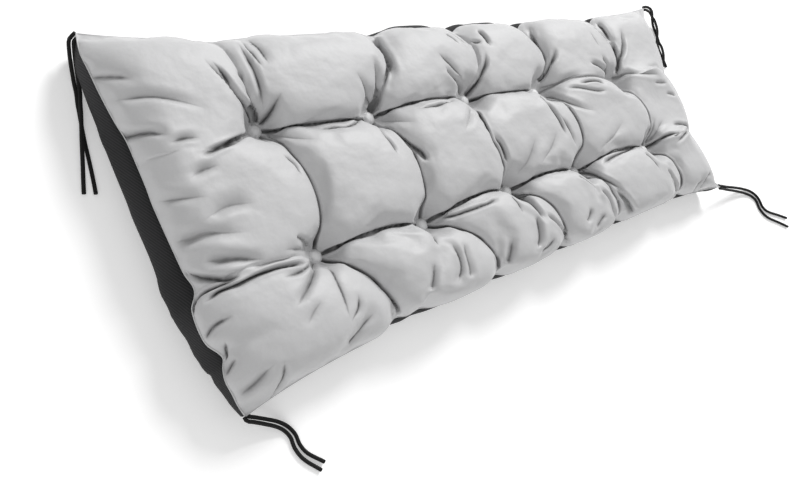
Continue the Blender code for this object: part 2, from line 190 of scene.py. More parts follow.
def build_strand(name, line):
    """A cord along a line, as a mesh, and its length."""
    curve = bpy.data.curves.new(name, "CURVE")
    curve.dimensions = "3D"
    curve.bevel_depth = TIE_DIAMETER / 2
    curve.bevel_resolution = BEVEL_STEPS
    curve.use_fill_caps = True
    spline = curve.splines.new("POLY")
    spline.points.add(len(line) - 1)
    for spot, point in zip(spline.points, line):
        spot.co = (*point, 1.0)
    strand = add_object(name, curve)
    select_only(strand)
    bpy.ops.object.convert(target="MESH")
    strand = bpy.context.view_layer.objects.active
    length = float(np.linalg.norm(np.diff(line, axis=0), axis=1).sum())
    for loop in strand.data.uv_layers.active.data:
        loop.uv = (loop.uv[0] * length, loop.uv[1] * math.pi * TIE_DIAMETER)
    strand.data.shade_smooth()
    return strand, length


strands = []
for corner, tie in TIES.items():
    for letter, line in zip("ab", strand_pair(corner, *tie)):
        strand, length = build_strand(f"cord_{corner}_{letter}", line)
        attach(strand, "root")
        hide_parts(f"tie_{corner}_{letter}")
        strands.append(strand)
        print(strand.name, round(length, 3), "m")

# %% [markdown]
# ## The cut of the front
#
# The front is laid out as a net: the seam round the outside, and two rows of five buttons inside
# it. Creases run from button to button and out to the seam, and each cell of the net is a puff.
# It could be cut as a plain rectangle and left to the simulation, but then the puffs would settle
# where they like. The net's places are those of the solid under it, so the two agree.

# %% Sides and buttons
PUFFS_LONG = 6           # puffs along the cushion
PUFFS_WIDE = 3           # and across it
BUTTON_SEAT = 0.057      # height of the cloth under a button
SIDES = {
    # side: (first corner, last corner, drawn in, seam height, back bulge, front bulge,
    #        steepness, pucker); the near seam and its bulge follow tables of their own
    "lower": ("near_lower", "far_lower", 0.021, 0.046, 0.000, 0.006, 0.58, 0.010),
    "upper": ("near_upper", "far_upper", 0.024, 0.050, 0.008, 0.000, 0.95, 0.013),
    "near": ("near_lower", "near_upper", 0.000, 0.066, 0.000, 0.000, 0.80, 0.000),
    "far": ("far_lower", "far_upper", 0.035, 0.046, 0.010, 0.000, 1.20, 0.000),
}
BUTTON_ROWS = {
    "upper": ((-0.418, 0.093), (-0.217, 0.081), (-0.009, 0.080), (0.166, 0.069), (0.379, 0.057)),
    "lower": ((-0.402, -0.102), (-0.201, -0.102), (-0.001, -0.089), (0.179, -0.090),
              (0.397, -0.086)),
}
SEAM_ENDS = {
    "upper": (-0.424, -0.139, 0.030, 0.190, 0.404),
    "lower": (-0.306, -0.096, 0.069, 0.234, 0.444),
    "near": (-0.102, 0.072),
    "far": (-0.080, 0.052),
}
print("buttons:", sum(len(places) for places in BUTTON_ROWS.values()))

# %% [markdown]
# ## The seam
#
# The seam joins the pale front to the black back. Filling draws it in between the corners, which
# stay out as ears, and each crease that ends at it puckers it. One hand-drawn curve would do, but
# a straight side that is drawn in by a rule needs far fewer numbers. Only the near side, which
# shows best, swells as its own table says.

# %% Pulls on the seam
EAR_SHARPNESS = 6        # the higher, the more suddenly a side bows in beside its corners
PUCKER_WIDTH = 0.022     # how far along the seam a crease pulls at it
SEAM_PULLS = {
    # how hard each crease pulls the seam in, as a share of the side's pucker
    "upper": (0.5, 0.8, 1.1, 1.7, 1.7),
    "lower": (1.4, 1.1, 1.0, 1.0, 1.0),
    "far": (1.0, 1.0),
}
SEAM_TUCKS = {
    # more places where the seam is pulled in: (place along it, pull)
    "lower": ((-0.262, 1.2), (-0.225, 0.3)), "upper": ((-0.455, 0.2), (-0.385, 0.2)),
}
NEAR_SEAM = (
    # how far the near seam swells out: (place along it, swell), both in millimetres
    (-268, 0), (-251, 8), (-235, 12), (-218, 16), (-204, 14), (-197, 11.5), (-191, 7),
    (-181, 13), (-170, 22), (-153, 24.5), (-137, 24), (-122, 21.5), (-115, 17), (-108, 11.5),
    (-101, 8), (-94, 7.5), (-87, 9), (-76, 11.5), (-43, 12), (7, 12), (24, 11.5), (40, 10),
    (73, 9), (106, 8.5), (124, 11), (142, 13), (177, 14.5), (213, 13.5), (233, 12.5),
    (253, 7), (271, 0),
)


# %% Seam lines
def ear_bow(share):
    """0 at a side's corners and 1 along most of the side between them."""
    return 1 - np.abs(2 * share - 1) ** EAR_SHARPNESS


def along_axis(side):
    """0 for a side that runs along X, 1 for one that runs along Y."""
    return 0 if side in ("lower", "upper") else 1


def seam_share(side, place):
    """How far along a side a place is: 0 at its first corner, 1 at its last."""
    first, last = (CORNERS[corner] for corner in SIDES[side][:2])
    axis = along_axis(side)
    return (place - first[axis]) / (last[axis] - first[axis])


def pucker(side, along):
    """How far the seam is pulled in by the creases that end at it, and between them."""
    pulls = [*zip(SEAM_ENDS[side], SEAM_PULLS[side]), *SEAM_TUCKS.get(side, ())]
    return sum(SIDES[side][7] * pull * np.exp(-((along - place) / PUCKER_WIDTH) ** 2)
               for place, pull in pulls)


def read_curve(table, places):
    """Values at these places of a smooth curve through a table in millimetres."""
    along, values = smooth_route(np.array(table) * MM, MM).T
    return np.interp(places, along, values)


def seam_line(side, shares):
    """Points of a side's seam: drawn in between its ears, puckered where creases end."""
    first_corner, last_corner, drawn_in, height = SIDES[side][:4]
    first = np.array(CORNERS[first_corner])
    last = np.array(CORNERS[last_corner])
    shares = np.asarray(shares)
    points = first + shares[:, None] * (last - first)
    bow = ear_bow(shares)
    axis = along_axis(side)
    inward = -1.0 if side in ("upper", "far") else 1.0
    if side == "near":
        points[:, 0] -= read_curve(NEAR_SEAM, points[:, 1])
    else:
        points[:, 1 - axis] += inward * (drawn_in * bow + pucker(side, points[:, axis]))
    points[:, 2] += (height - points[:, 2]) * bow
    return points


for side in SIDES:
    steps = np.diff(seam_line(side, np.linspace(0, 1, 200)), axis=0)
    print(side, "seam:", round(float(np.linalg.norm(steps, axis=1).sum()), 3), "m")


# %% The net
def net_points():
    """Points that the creases join: seam ends and buttons, by column and row of the net."""
    points = {}
    for row, side in ((0, "lower"), (PUFFS_WIDE, "upper")):
        shares = [0.0] + [seam_share(side, x) for x in SEAM_ENDS[side]] + [1.0]
        for column, point in enumerate(seam_line(side, shares)):
            points[column, row] = point
    for column, side in ((0, "near"), (PUFFS_LONG, "far")):
        shares = [seam_share(side, y) for y in SEAM_ENDS[side]]
        for row, point in zip((1, 2), seam_line(side, shares)):
            points[column, row] = point
    for row, name in ((1, "lower"), (2, "upper")):
        for column, place in enumerate(BUTTON_ROWS[name], start=1):
            points[column, row] = np.array((*place, BUTTON_SEAT))
    return points


print("net:", len(net_points()), "points that the creases join")

# %% [markdown]
# ## The start form
#
# Each cell of the net is spanned between its four creases, and its middle is lifted to the top of
# the puff. The same could be sculpted by hand, but a rule gives every puff a clean, even mesh
# whose lines follow the creases, and that is what a cloth simulation likes to start from.

# %% A puff in section
FACING_FULLNESS = 3.5    # a puff is full on its sides that face -X and -Y
FACING_STEEPNESS = 0.50
OUTER_FULLNESS = 3.0     # a little less so along the outer seam
NEAR_FULLNESS = 2.2      # and least along the near one
LEEWARD_FULLNESS = 2.0   # and slopes down gently on the others
LEEWARD_STEEPNESS = 0.90


def puff(shares, first_steepness=FACING_STEEPNESS, last_steepness=LEEWARD_STEEPNESS,
         first_fullness=FACING_FULLNESS):
    """Height share of a puff across its cell: full at its first border, gentle at its last."""
    first = (1 - np.abs(2 * shares - 1) ** first_fullness) ** first_steepness
    last = (1 - np.abs(2 * shares - 1) ** LEEWARD_FULLNESS) ** last_steepness
    return np.where(shares < 0.5, first, last)


def puff_across(count, number, first_side, last_side, shares):
    """Height shares across a cell, which at the cushion's edge are those of its side."""
    first = SIDES[first_side][6] if number == 0 else FACING_STEEPNESS
    last = SIDES[last_side][6] if number == count - 1 else LEEWARD_STEEPNESS
    outer = NEAR_FULLNESS if first_side == "near" else OUTER_FULLNESS
    return puff(shares, first, last, outer if number == 0 else FACING_FULLNESS)


# %% Cloth squares
STEPS_LONG = 33          # cloth squares across a puff, along X
STEPS_WIDE = 34          # and along Y
CROWDING = 0.65          # how far the squares crowd towards the creases, from 0 to 1


def crowded(steps):
    """Shares from 0 to 1 that crowd towards both ends, where the creases are."""
    even = np.arange(steps + 1) / steps
    return (1 - CROWDING) * even + CROWDING * (0.5 - 0.5 * np.cos(np.pi * even))


ACROSS_LONG = crowded(STEPS_LONG)
ACROSS_WIDE = crowded(STEPS_WIDE)
print("squares in a puff:", STEPS_LONG, "by", STEPS_WIDE)

# %% Creases
BANDS = ("lower", "middle", "upper")
CREASE_DIP = 0.8         # the lower, the more evenly a crease rises between its buttons
ROW_CREASES = {
    # how far each crease bows aside, and how far its middle rises, from the near end on
    "lower": ((0.004, 0.030), (0.006, 0.023), (0.008, 0.023), (0.006, 0.023), (0.010, 0.025),
              (0.006, 0.046)),
    "upper": ((-0.018, 0.042), (-0.008, 0.020), (0.004, 0.022), (-0.003, 0.024), (0.006, 0.034),
              (0.005, 0.045)),
}
COLUMN_CREASES = {
    "lower": ((0.011, 0.024), (0.026, 0.028), (0.024, 0.032), (0.006, 0.032), (0.018, 0.026)),
    "middle": ((0.025, 0.028), (0.018, 0.029), (-0.026, 0.043), (0.018, 0.041), (0.024, 0.030)),
    "upper": ((-0.008, 0.038), (0.010, 0.030), (0.020, 0.032), (0.026, 0.020), (0.024, 0.022)),
}


def crease(start, end, shares, bow, rise, bow_axis, seam_end):
    """A sewn crease from one net point to the next; it fades where it runs to the seam."""
    line = start + shares[:, None] * (end - start)
    swell = np.sin(np.pi * shares)
    line[:, bow_axis] += bow * swell
    faded = {"first": shares < 0.5, "last": shares > 0.5, "none": shares < 0}[seam_end]
    line[:, 2] += rise * np.where(faded, puff(shares), swell ** CREASE_DIP)
    return line


def row_line(net, row, column):
    """Border of a puff that runs along X."""
    if row in (0, PUFFS_WIDE):
        side = "lower" if row == 0 else "upper"
        ends = [0.0] + [seam_share(side, x) for x in SEAM_ENDS[side]] + [1.0]
        return seam_line(side, ends[column] + ACROSS_LONG * (ends[column + 1] - ends[column]))
    bow, rise = ROW_CREASES["lower" if row == 1 else "upper"][column]
    seam_end = {0: "first", PUFFS_LONG - 1: "last"}.get(column, "none")
    return crease(net[column, row], net[column + 1, row], ACROSS_LONG, bow, rise, 1, seam_end)


def column_line(net, column, row):
    """Border of a puff that runs along Y."""
    if column in (0, PUFFS_LONG):
        side = "near" if column == 0 else "far"
        ends = [0.0] + [seam_share(side, y) for y in SEAM_ENDS[side]] + [1.0]
        return seam_line(side, ends[row] + ACROSS_WIDE * (ends[row + 1] - ends[row]))
    bow, rise = COLUMN_CREASES[BANDS[row]][column - 1]
    seam_end = ("first", "none", "last")[row]
    return crease(net[column, row], net[column, row + 1], ACROSS_WIDE, bow, rise, 0, seam_end)


# %% Span the cells
CROWN = 0.104            # height of the puffs' tops
PUFF_TOPS = {
    # and what each puff adds to that, from the near end on
    "lower": (-0.002, -0.001, -0.004, -0.005, -0.006, -0.020),
    "middle": (0.001, 0.000, -0.001, -0.003, -0.006, -0.024),
    "upper": (-0.003, -0.003, -0.008, -0.009, -0.010, -0.026),
}


def filled_patch(south, north, west, east):
    """Spans a cell between its four border lines (a Coons patch)."""
    u = ACROSS_LONG[:, None, None]
    v = ACROSS_WIDE[None, :, None]
    between_rows = (1 - v) * south[:, None] + v * north[:, None]
    between_columns = (1 - u) * west[None] + u * east[None]
    twice = ((1 - u) * (1 - v) * south[0] + u * (1 - v) * south[-1]
             + (1 - u) * v * north[0] + u * v * north[-1])
    return between_rows + between_columns - twice


def start_form():
    """Grid of points of the front cloth, from the near lower ear to the far upper one."""
    net = net_points()
    grid = np.zeros((PUFFS_LONG * STEPS_LONG + 1, PUFFS_WIDE * STEPS_WIDE + 1, 3))
    for column in range(PUFFS_LONG):
        along = puff_across(PUFFS_LONG, column, "near", "far", ACROSS_LONG)
        for row, band in enumerate(BANDS):
            across = puff_across(PUFFS_WIDE, row, "lower", "upper", ACROSS_WIDE)
            patch = filled_patch(row_line(net, row, column), row_line(net, row + 1, column),
                                 column_line(net, column, row), column_line(net, column + 1, row))
            top = CROWN + PUFF_TOPS[band][column]
            patch[:, :, 2] += (top - patch[:, :, 2]) * along[:, None] * across[None, :]
            grid[column * STEPS_LONG:(column + 1) * STEPS_LONG + 1,
                 row * STEPS_WIDE:(row + 1) * STEPS_WIDE + 1] = patch
    return grid


# %% Sides and button seats
SIDE_REACH = 0.055       # the front's sides bulge out over this width inside the seam
SEAT_FLAT = 0.010        # the cloth is level under a button out to this radius
SEAT_BLEND = 0.041       # and meets the puffs at this one


def push_sides(grid):
    """Lets the front bulge a little past the seam, most about halfway up its sides."""
    columns = grid.shape[0]
    rows = grid.shape[1]
    fade_long = puff(np.linspace(0, 1, columns))[:, None]
    fade_wide = puff(np.linspace(0, 1, rows))[None, :]
    start = grid.copy()
    for side, edge in (("lower", start[:, :1]), ("upper", start[:, -1:]),
                       ("near", start[:1]), ("far", start[-1:])):
        inside = np.abs(start - edge)[..., 1 - along_axis(side)]
        out = np.sin(np.pi * np.clip(inside / SIDE_REACH, 0, 1))
        fade = fade_long if along_axis(side) == 0 else fade_wide
        sign = 1.0 if side in ("upper", "far") else -1.0
        grid[..., 1 - along_axis(side)] += sign * SIDES[side][5] * out * fade


def level_button_seats(grid):
    """Levels the cloth under each button and blends it into the puffs."""
    for places in BUTTON_ROWS.values():
        for place in places:
            away = np.hypot(grid[..., 0] - place[0], grid[..., 1] - place[1])
            share = np.clip((away - SEAT_FLAT) / (SEAT_BLEND - SEAT_FLAT), 0, 1)
            share = share * share * (3 - 2 * share)
            grid[..., 2] = BUTTON_SEAT + (grid[..., 2] - BUTTON_SEAT) * share


form = start_form()
push_sides(form)
level_button_seats(form)
print("start form:", form.shape[0], "by", form.shape[1], "points")

# %% [markdown]
# ## The folds
#
# Between the creases lie the folds that make the cloth look real: short pleats round the buttons,
# gathers at the seam, long soft troughs at the near end. A simulation makes folds too, but not
# these ones, so they are listed one by one. Each row below gives a fold's route as the camera sees
# it on a level plane through the puffs, in millimetres.

# %% Fold table
FOLDS = (
    # depth, width on the left of the route, width on its right, fade (start, end), route
    # near end, upper band
    (9, 3, 6, 0.05, 0.35, ((-432, 98), (-433, 118), (-442, 145), (-452, 172), (-463, 205))),
    (5, 4, 4, 0.30, 0.50, ((-437, 155), (-444, 175), (-452, 198))),
    (10, 6, 4, 0.05, 0.40, ((-421, 98), (-420, 125), (-417, 150), (-421, 182))),
    (6, 6, 5, 0.40, 0.30, ((-405, 112), (-397, 140), (-395, 170), (-399, 205), (-402, 222))),
    (5, 4, 4, 0.30, 0.40, ((-396, 222), (-388, 205), (-381, 185), (-376, 176))),
    (4, 4, 5, 0.20, 0.40, ((-384, 222), (-372, 205), (-365, 180))),
    (6, 6, 4, 0.05, 0.50, ((-418, 95), (-400, 106), (-385, 118), (-372, 130), (-361, 138))),
    (7, 6, 4, 0.10, 0.25, ((-437, 86), (-450, 80), (-475, 72), (-500, 69), (-522, 66))),
    (6, 3, 4, 0.40, 0.15, ((-335, 75), (-315, 70), (-300, 68), (-280, 66), (-262, 69),
                           (-243, 78))),
    (3, 12, 9, 0.10, 0.50, ((-418, 83), (-390, 70), (-360, 62), (-328, 57))),
    (3, 6, 8, 0.10, 0.50, ((-415, 80), (-397, 62), (-380, 45))),
    (3, 5, 5, 0.10, 0.30, ((-622, 193), (-597, 190), (-572, 187))),
    (5, 10, 6, 0.30, 0.50, ((-612, 158), (-575, 157), (-545, 152), (-515, 142), (-480, 126))),
    (5, 8, 5, 0.10, 0.40, ((-614, 107), (-590, 109), (-570, 107), (-552, 101))),
    (5, 7, 6, 0.40, 0.50, ((-558, 89), (-540, 93), (-512, 91))),
    (6, 9, 8, 0.40, 0.50, ((-550, 38), (-530, 45), (-500, 49))),
    (4, 10, 8, 0.30, 0.50, ((-602, 18), (-565, 14), (-528, 12))),
    # near end, middle and lower bands
    (5, 5, 6, 0.30, 0.40, ((-400, 45), (-388, 28), (-383, 8))),
    (8, 15, 10, 0.40, 0.50, ((-556, -18), (-512, -10), (-468, -12))),
    (8, 15, 10, 0.20, 0.50, ((-600, -38), (-550, -40), (-492, -49))),
    (8, 10, 8, 0.30, 0.40, ((-574, -71), (-545, -75), (-515, -82), (-485, -91))),
    (6, 7, 4, 0.30, 0.20, ((-604, -72), (-586, -87), (-560, -97), (-530, -101))),
    (9, 3, 4, 0.15, 0.15, ((-594, -121), (-560, -117), (-520, -114), (-480, -110), (-445, -110),
                           (-428, -110))),
    (5, 4, 4, 0.40, 0.10, ((-473, -120), (-455, -121), (-440, -119), (-426, -113))),
    (8, 4, 7, 0.05, 0.40, ((-417, -112), (-425, -122), (-440, -138), (-455, -150), (-474, -165))),
    (4, 3, 4, 0.20, 0.40, ((-402, -118), (-399, -150), (-398, -180), (-401, -205))),
    (5, 5, 5, 0.40, 0.40, ((-372, -172), (-380, -190), (-400, -206))),
    (5, 5, 8, 0.40, 0.05, ((-358, -204), (-390, -217), (-418, -233))),
    (3, 8, 8, 0.40, 0.40, ((-430, -165), (-450, -176), (-467, -194))),
    (5, 10, 7, 0.30, 0.40, ((-592, -243), (-570, -236), (-550, -228), (-527, -221))),
    (5, 6, 5, 0.30, 0.10, ((-516, -222), (-524, -238), (-545, -256))),
    (4, 4, 5, 0.10, 0.40, ((-605, -163), (-597, -155), (-584, -150), (-560, -147))),
    (5, 3, 3, 0.05, 0.40, ((-590, -194), (-584, -185), (-582, -175))),
    (4, 6, 6, 0.20, 0.40, ((-598, -213), (-587, -205), (-574, -197))),
    (6, 3, 3, 0.20, 0.20, ((-578, -271), (-561, -262), (-543, -255))),
    (5, 3, 3, 0.10, 0.30, ((-610, -132), (-600, -117), (-583, -111), (-552, -107), (-532, -103))),
    (4, 4, 8, 0.10, 0.30, ((-430, -70), (-420, -80), (-412, -92))),
    (4, 8, 10, 0.20, 0.50, ((-418, -95), (-438, -88), (-458, -84))),
    # second column of buttons
    (4, 6, 6, 0.10, 0.50, ((-222, 90), (-220, 110), (-216, 130), (-220, 156))),
    (12, 7, 9, 0.02, 0.45, ((-226, 84), (-212, 95), (-200, 110), (-190, 135), (-180, 158),
                            (-172, 174))),
    (9, 8, 5, 0.05, 0.30, ((-163, 200), (-154, 185), (-149, 165), (-150, 148), (-156, 135))),
    (5, 4, 4, 0.10, 0.45, ((-152, 156), (-160, 142), (-172, 128), (-184, 116))),
    (6, 4, 4, 0.40, 0.20, ((-135, 78), (-115, 75), (-90, 73), (-70, 76), (-48, 79))),
    (8, 4, 6, 0.30, 0.15, ((-215, 60), (-195, 45), (-183, 34), (-172, 18), (-162, 3),
                           (-153, -14))),
    (5, 4, 4, 0.10, 0.30, ((-228, 64), (-218, 45), (-210, 24), (-204, 6))),
    (2, 8, 8, 0.10, 0.50, ((-215, 68), (-180, 60), (-138, 54))),
    (5, 3, 5, 0.30, 0.20, ((-190, -100), (-165, -105), (-140, -107), (-100, -106), (-70, -103),
                           (-42, -98))),
    (5, 4, 5, 0.05, 0.40, ((-212, -113), (-207, -128), (-201, -144))),
    (8, 6, 5, 0.35, 0.20, ((-176, -143), (-177, -165), (-182, -185), (-194, -206))),
    (6, 7, 7, 0.35, 0.15, ((-222, -167), (-236, -182), (-248, -203))),
    (5, 8, 8, 0.30, 0.10, ((-152, -150), (-160, -175), (-165, -205))),
    # third column
    (9, 6, 7, 0.03, 0.35, ((-25, 88), (-29, 105), (-34, 125), (-36, 142))),
    (5, 5, 5, 0.40, 0.35, ((-40, 168), (-28, 145), (-18, 122), (-12, 110))),
    (6, 5, 5, 0.03, 0.35, ((-20, 82), (0, 93), (22, 104), (40, 118), (53, 129), (66, 146),
                           (72, 158))),
    (4, 4, 4, 0.40, 0.40, ((43, 178), (56, 171), (72, 175))),
    (5, 5, 5, 0.15, 0.40, ((74, 196), (82, 178), (90, 163))),
    (4, 4, 4, 0.10, 0.40, ((6, 200), (20, 186), (36, 171))),
    (3, 4, 4, 0.10, 0.40, ((-2, 197), (8, 188), (20, 174))),
    (4, 3, 4, 0.40, 0.20, ((88, 76), (108, 75), (125, 71), (137, 66))),
    (6, 5, 4, 0.30, 0.35, ((5, 5), (9, -18), (8, -48))),
    (3, 8, 8, 0.10, 0.50, ((-20, 58), (-35, 40), (-54, 22))),
    (5, 14, 12, 0.50, 0.40, ((107, -10), (85, -28), (60, -48), (35, -62), (12, -71))),
    (4, 10, 10, 0.50, 0.50, ((163, -8), (140, -30), (110, -50), (78, -66))),
    (4, 5, 5, 0.10, 0.45, ((-12, -102), (-7, -118), (-3, -138))),
    (7, 6, 6, 0.03, 0.40, ((-6, -104), (10, -115), (22, -130), (33, -148), (41, -163))),
    (8, 7, 7, 0.30, 0.15, ((25, -146), (13, -160), (5, -178), (-4, -198))),
    (8, 5, 7, 0.30, 0.15, ((44, -145), (53, -155), (61, -170), (66, -190), (62, -210))),
    (4, 5, 5, 0.30, 0.30, ((-2, -206), (20, -200), (42, -191))),
    (5, 8, 8, 0.40, 0.10, ((-48, -168), (-65, -185), (-82, -204))),
    # fourth column
    (9, 6, 5, 0.10, 0.30, ((166, 84), (185, 92), (200, 108), (211, 123), (213, 138), (206, 156),
                           (203, 172), (207, 194))),
    (6, 5, 6, 0.05, 0.45, ((168, 84), (190, 92), (210, 105), (232, 123), (258, 144))),
    (3, 8, 7, 0.10, 0.40, ((160, 73), (200, 74), (240, 80), (280, 84), (305, 83))),
    (4, 4, 5, 0.30, 0.25, ((228, 64), (260, 60), (290, 52), (320, 44), (347, 43))),
    (5, 4, 4, 0.35, 0.15, ((273, 67), (300, 67), (325, 65), (347, 58))),
    (6, 4, 5, 0.05, 0.30, ((158, 58), (165, 40), (172, 15), (176, -5), (180, -28))),
    (4, 4, 4, 0.40, 0.40, ((185, 20), (190, -5), (193, -30), (192, -52))),
    (4, 7, 7, 0.05, 0.50, ((160, 58), (190, 47), (220, 33), (250, 20), (280, 10), (300, 7))),
    (5, 5, 5, 0.20, 0.15, ((240, -92), (260, -89), (290, -85), (320, -82), (350, -81))),
    (6, 5, 6, 0.03, 0.45, ((165, -95), (190, -103), (215, -115), (240, -132), (265, -150),
                           (275, -157))),
    (3, 5, 5, 0.10, 0.50, ((165, -100), (180, -112), (190, -125), (198, -136))),
    (9, 6, 5, 0.40, 0.05, ((204, -130), (212, -150), (209, -170), (206, -185), (203, -202))),
    (7, 7, 7, 0.40, 0.10, ((240, -142), (250, -158), (258, -178), (263, -195))),
    (4, 6, 6, 0.20, 0.30, ((150, -201), (165, -190), (190, -181))),
    (5, 7, 7, 0.10, 0.40, ((138, -184), (150, -171), (162, -162))),
    # fifth column
    (7, 5, 6, 0.05, 0.40, ((361, 72), (357, 85), (348, 97), (331, 107))),
    (6, 5, 5, 0.05, 0.40, ((364, 73), (371, 88), (377, 102), (377, 118))),
    (7, 5, 5, 0.05, 0.05, ((393, 70), (405, 88), (415, 103), (420, 116), (417, 132), (405, 152),
                           (392, 176))),
    (5, 4, 4, 0.20, 0.40, ((404, 182), (412, 165), (418, 150), (422, 136))),
    (8, 5, 6, 0.10, 0.40, ((400, 74), (420, 97), (435, 112), (450, 127), (463, 145),
                           (477, 167))),
    (4, 7, 7, 0.05, 0.30, ((370, 65), (400, 66), (430, 67), (460, 65), (490, 60), (520, 55),
                           (540, 53))),
    (3, 5, 5, 0.30, 0.20, ((500, 39), (520, 35), (542, 33))),
    (3, 4, 4, 0.40, 0.05, ((520, 12), (535, 9), (550, 3))),
    (4, 7, 7, 0.10, 0.50, ((385, -78), (405, -65), (425, -53), (455, -32))),
    (3, 7, 7, 0.10, 0.50, ((395, -75), (430, -62), (455, -50), (480, -38))),
    (5, 4, 5, 0.05, 0.30, ((380, -85), (410, -80), (440, -75), (470, -75), (500, -74),
                           (524, -71))),
    (4, 5, 5, 0.40, 0.10, ((480, -94), (505, -87), (525, -80), (548, -69))),
    (4, 5, 5, 0.30, 0.10, ((498, -55), (520, -57), (546, -68))),
    (4, 5, 6, 0.05, 0.40, ((375, -95), (385, -108), (392, -122), (396, -140))),
    (8, 5, 6, 0.30, 0.05, ((418, -133), (420, -150), (418, -170), (415, -186))),
    (4, 6, 6, 0.20, 0.40, ((463, -199), (490, -186), (518, -179))),
    (4, 6, 6, 0.20, 0.20, ((488, -196), (520, -183), (550, -171))),
    (4, 14, 14, 0.40, 0.50, ((358, -20), (330, -35), (300, -50), (270, -60), (235, -69))),
    (2, 5, 5, 0.30, 0.40, ((374, 168), (378, 150), (383, 128))),
)
print("folds:", len(FOLDS))

# %% [markdown]
# Each route is then laid on the cloth along the camera's line of sight, shifted by what the fold's
# own depth will hide, and evened out, because the cloth under it is uneven.

# %% Lay a route on the cloth
SEEN_HEIGHT = 0.075      # the level plane that the routes are read on
LEAST_FACING = -0.60     # cosine past which a slope counts as no steeper to the eye
MOST_SHIFT = 0.9         # a route is laid no further off than this share of its depth
ROUTE_SMOOTHING = 16     # times that a laid route is evened out


def cloth_tree(mesh):
    """The cloth's faces, ready to be hit by a line of sight."""
    points = [vertex.co for vertex in mesh.vertices]
    return BVHTree.FromPolygons(points, [tuple(face.vertices) for face in mesh.polygons])


def laid_on_cloth(route, tree, depths):
    """A seen route, laid on the cloth so that its bottom shows there once it is pressed."""
    eye = Vector(CAMERA_PLACE)
    points = []
    for (x, y), depth in zip(route.tolist(), depths.tolist()):
        aim = (Vector((x, y, SEEN_HEIGHT)) - eye).normalized()
        hit, normal = tree.ray_cast(eye, aim)[:2]
        if hit is not None:
            facing = min(normal.dot(aim), LEAST_FACING)
            shift = normal - aim / facing
            points.append(hit + depth * shift * min(1, MOST_SHIFT / shift.length))
    points = np.array(points)
    for _ in range(ROUTE_SMOOTHING if len(points) > 2 else 0):
        points[1:-1] = (points[:-2] + 2 * points[1:-1] + points[2:]) / 4
    return points


# %% [markdown]
# ## A fold's section
#
# A fold has a sharp line at its bottom and rounded cloth on both sides, so its section is a pair
# of curves that meet in a cusp. Sculpt strokes would do this by hand. In code the points are
# pressed along the cloth's own normal, which keeps folds on the sloping sides as deep as those on
# top, and are drawn in towards the line, which gives the mesh more squares where it bends most.
#
# The mesh is too coarse for a crisp line. So each point also notes its signed distance to a fold
# in an attribute, in one of three layers, and the finish paints a thin dark line of painted shade
# from that, the shade that the fold's narrow bottom would hold. A softer painted shade round each
# fold is noted as well.

# %% Points and notes of a cloth
MARK_REACH = 0.007       # a fold is noted on the points this near to it
FAR_OFF = 0.05           # and this is noted where there is none
LAYERS = 3               # of notes, so that folds that cross don't wipe each other's out


def numbers_of(items, name, width=1):
    """One number, or one row of numbers, for each of a mesh's items."""
    flat = np.zeros(len(items) * width)
    items.foreach_get(name, flat)
    return flat.reshape(-1, width) if width > 1 else flat


def move_points(mesh, points):
    """Puts a mesh's points at these places."""
    mesh.vertices.foreach_set("co", np.ascontiguousarray(points).ravel())
    mesh.update()


class Cloth:
    """A mesh's points, with what the folds need to know and note at each of them."""

    def __init__(self, mesh):
        self.mesh = mesh
        self.points = numbers_of(mesh.vertices, "co", 3)
        self.normals = numbers_of(mesh.vertex_normals, "vector", 3)
        self.free = numbers_of(mesh.attributes["free"].data, "value")
        self.shade = numbers_of(mesh.attributes["shade"].data, "value")
        self.offsets = numbers_of(mesh.attributes["fold_offset"].data, "vector", LAYERS)
        self.weights = numbers_of(mesh.attributes["fold_weight"].data, "vector", LAYERS)

    def write(self):
        move_points(self.mesh, self.points)
        self.mesh.attributes["shade"].data.foreach_set("value", self.shade)
        self.mesh.attributes["fold_offset"].data.foreach_set("vector", self.offsets.ravel())
        self.mesh.attributes["fold_weight"].data.foreach_set("vector", self.weights.ravel())

    def note(self, close, layer, offset, strength):
        """Keeps the signed distance to the fold that counts most at each point."""
        near = np.clip(1 - (offset / MARK_REACH) ** 2, 0, 1)
        weight = strength * near
        kept = self.weights[close, layer]
        closer = np.abs(offset) < np.abs(self.offsets[close, layer])
        better = (weight > kept) | ((kept == 0) & closer)
        numbers = np.flatnonzero(close)[better]
        self.offsets[numbers, layer] = offset[better]
        self.weights[numbers, layer] = weight[better]


# %% Where points lie beside a fold
LINE_SLACK = 0.003       # a line this far above or below the cloth counts as on it


def fade(shares, start, end):
    """1 along a fold's middle, easing to 0 over its start and end."""
    rising = np.clip(shares / max(start, 0.01), 0, 1)
    falling = np.clip((1 - shares) / max(end, 0.01), 0, 1)
    both = rising * falling
    return both * both * (3 - 2 * both)


def beside_line(spots, normals, line):
    """For each spot: offset from the line, distance, side, share of the line, and overrun."""
    away = spots[:, None] - line[None]
    distances = np.linalg.norm(away, axis=2)
    nearest = distances.argmin(axis=1)
    numbers = np.arange(len(spots))
    heading = np.gradient(line, axis=0)
    heading /= np.linalg.norm(heading, axis=1)[:, None]
    heading = heading[nearest]
    offset = away[numbers, nearest]
    offset -= heading * (offset * heading).sum(axis=1)[:, None]
    past_end = np.maximum(distances[numbers, nearest] - np.linalg.norm(offset, axis=1), 0)
    above = (offset * normals).sum(axis=1)
    beside = np.linalg.norm(offset - normals * above[:, None], axis=1)
    distance = np.hypot(beside, np.maximum(np.abs(above) - LINE_SLACK, 0))
    side = heading[:, 0] * offset[:, 1] - heading[:, 1] * offset[:, 0]
    return offset, distance, side, nearest / (len(line) - 1), past_end


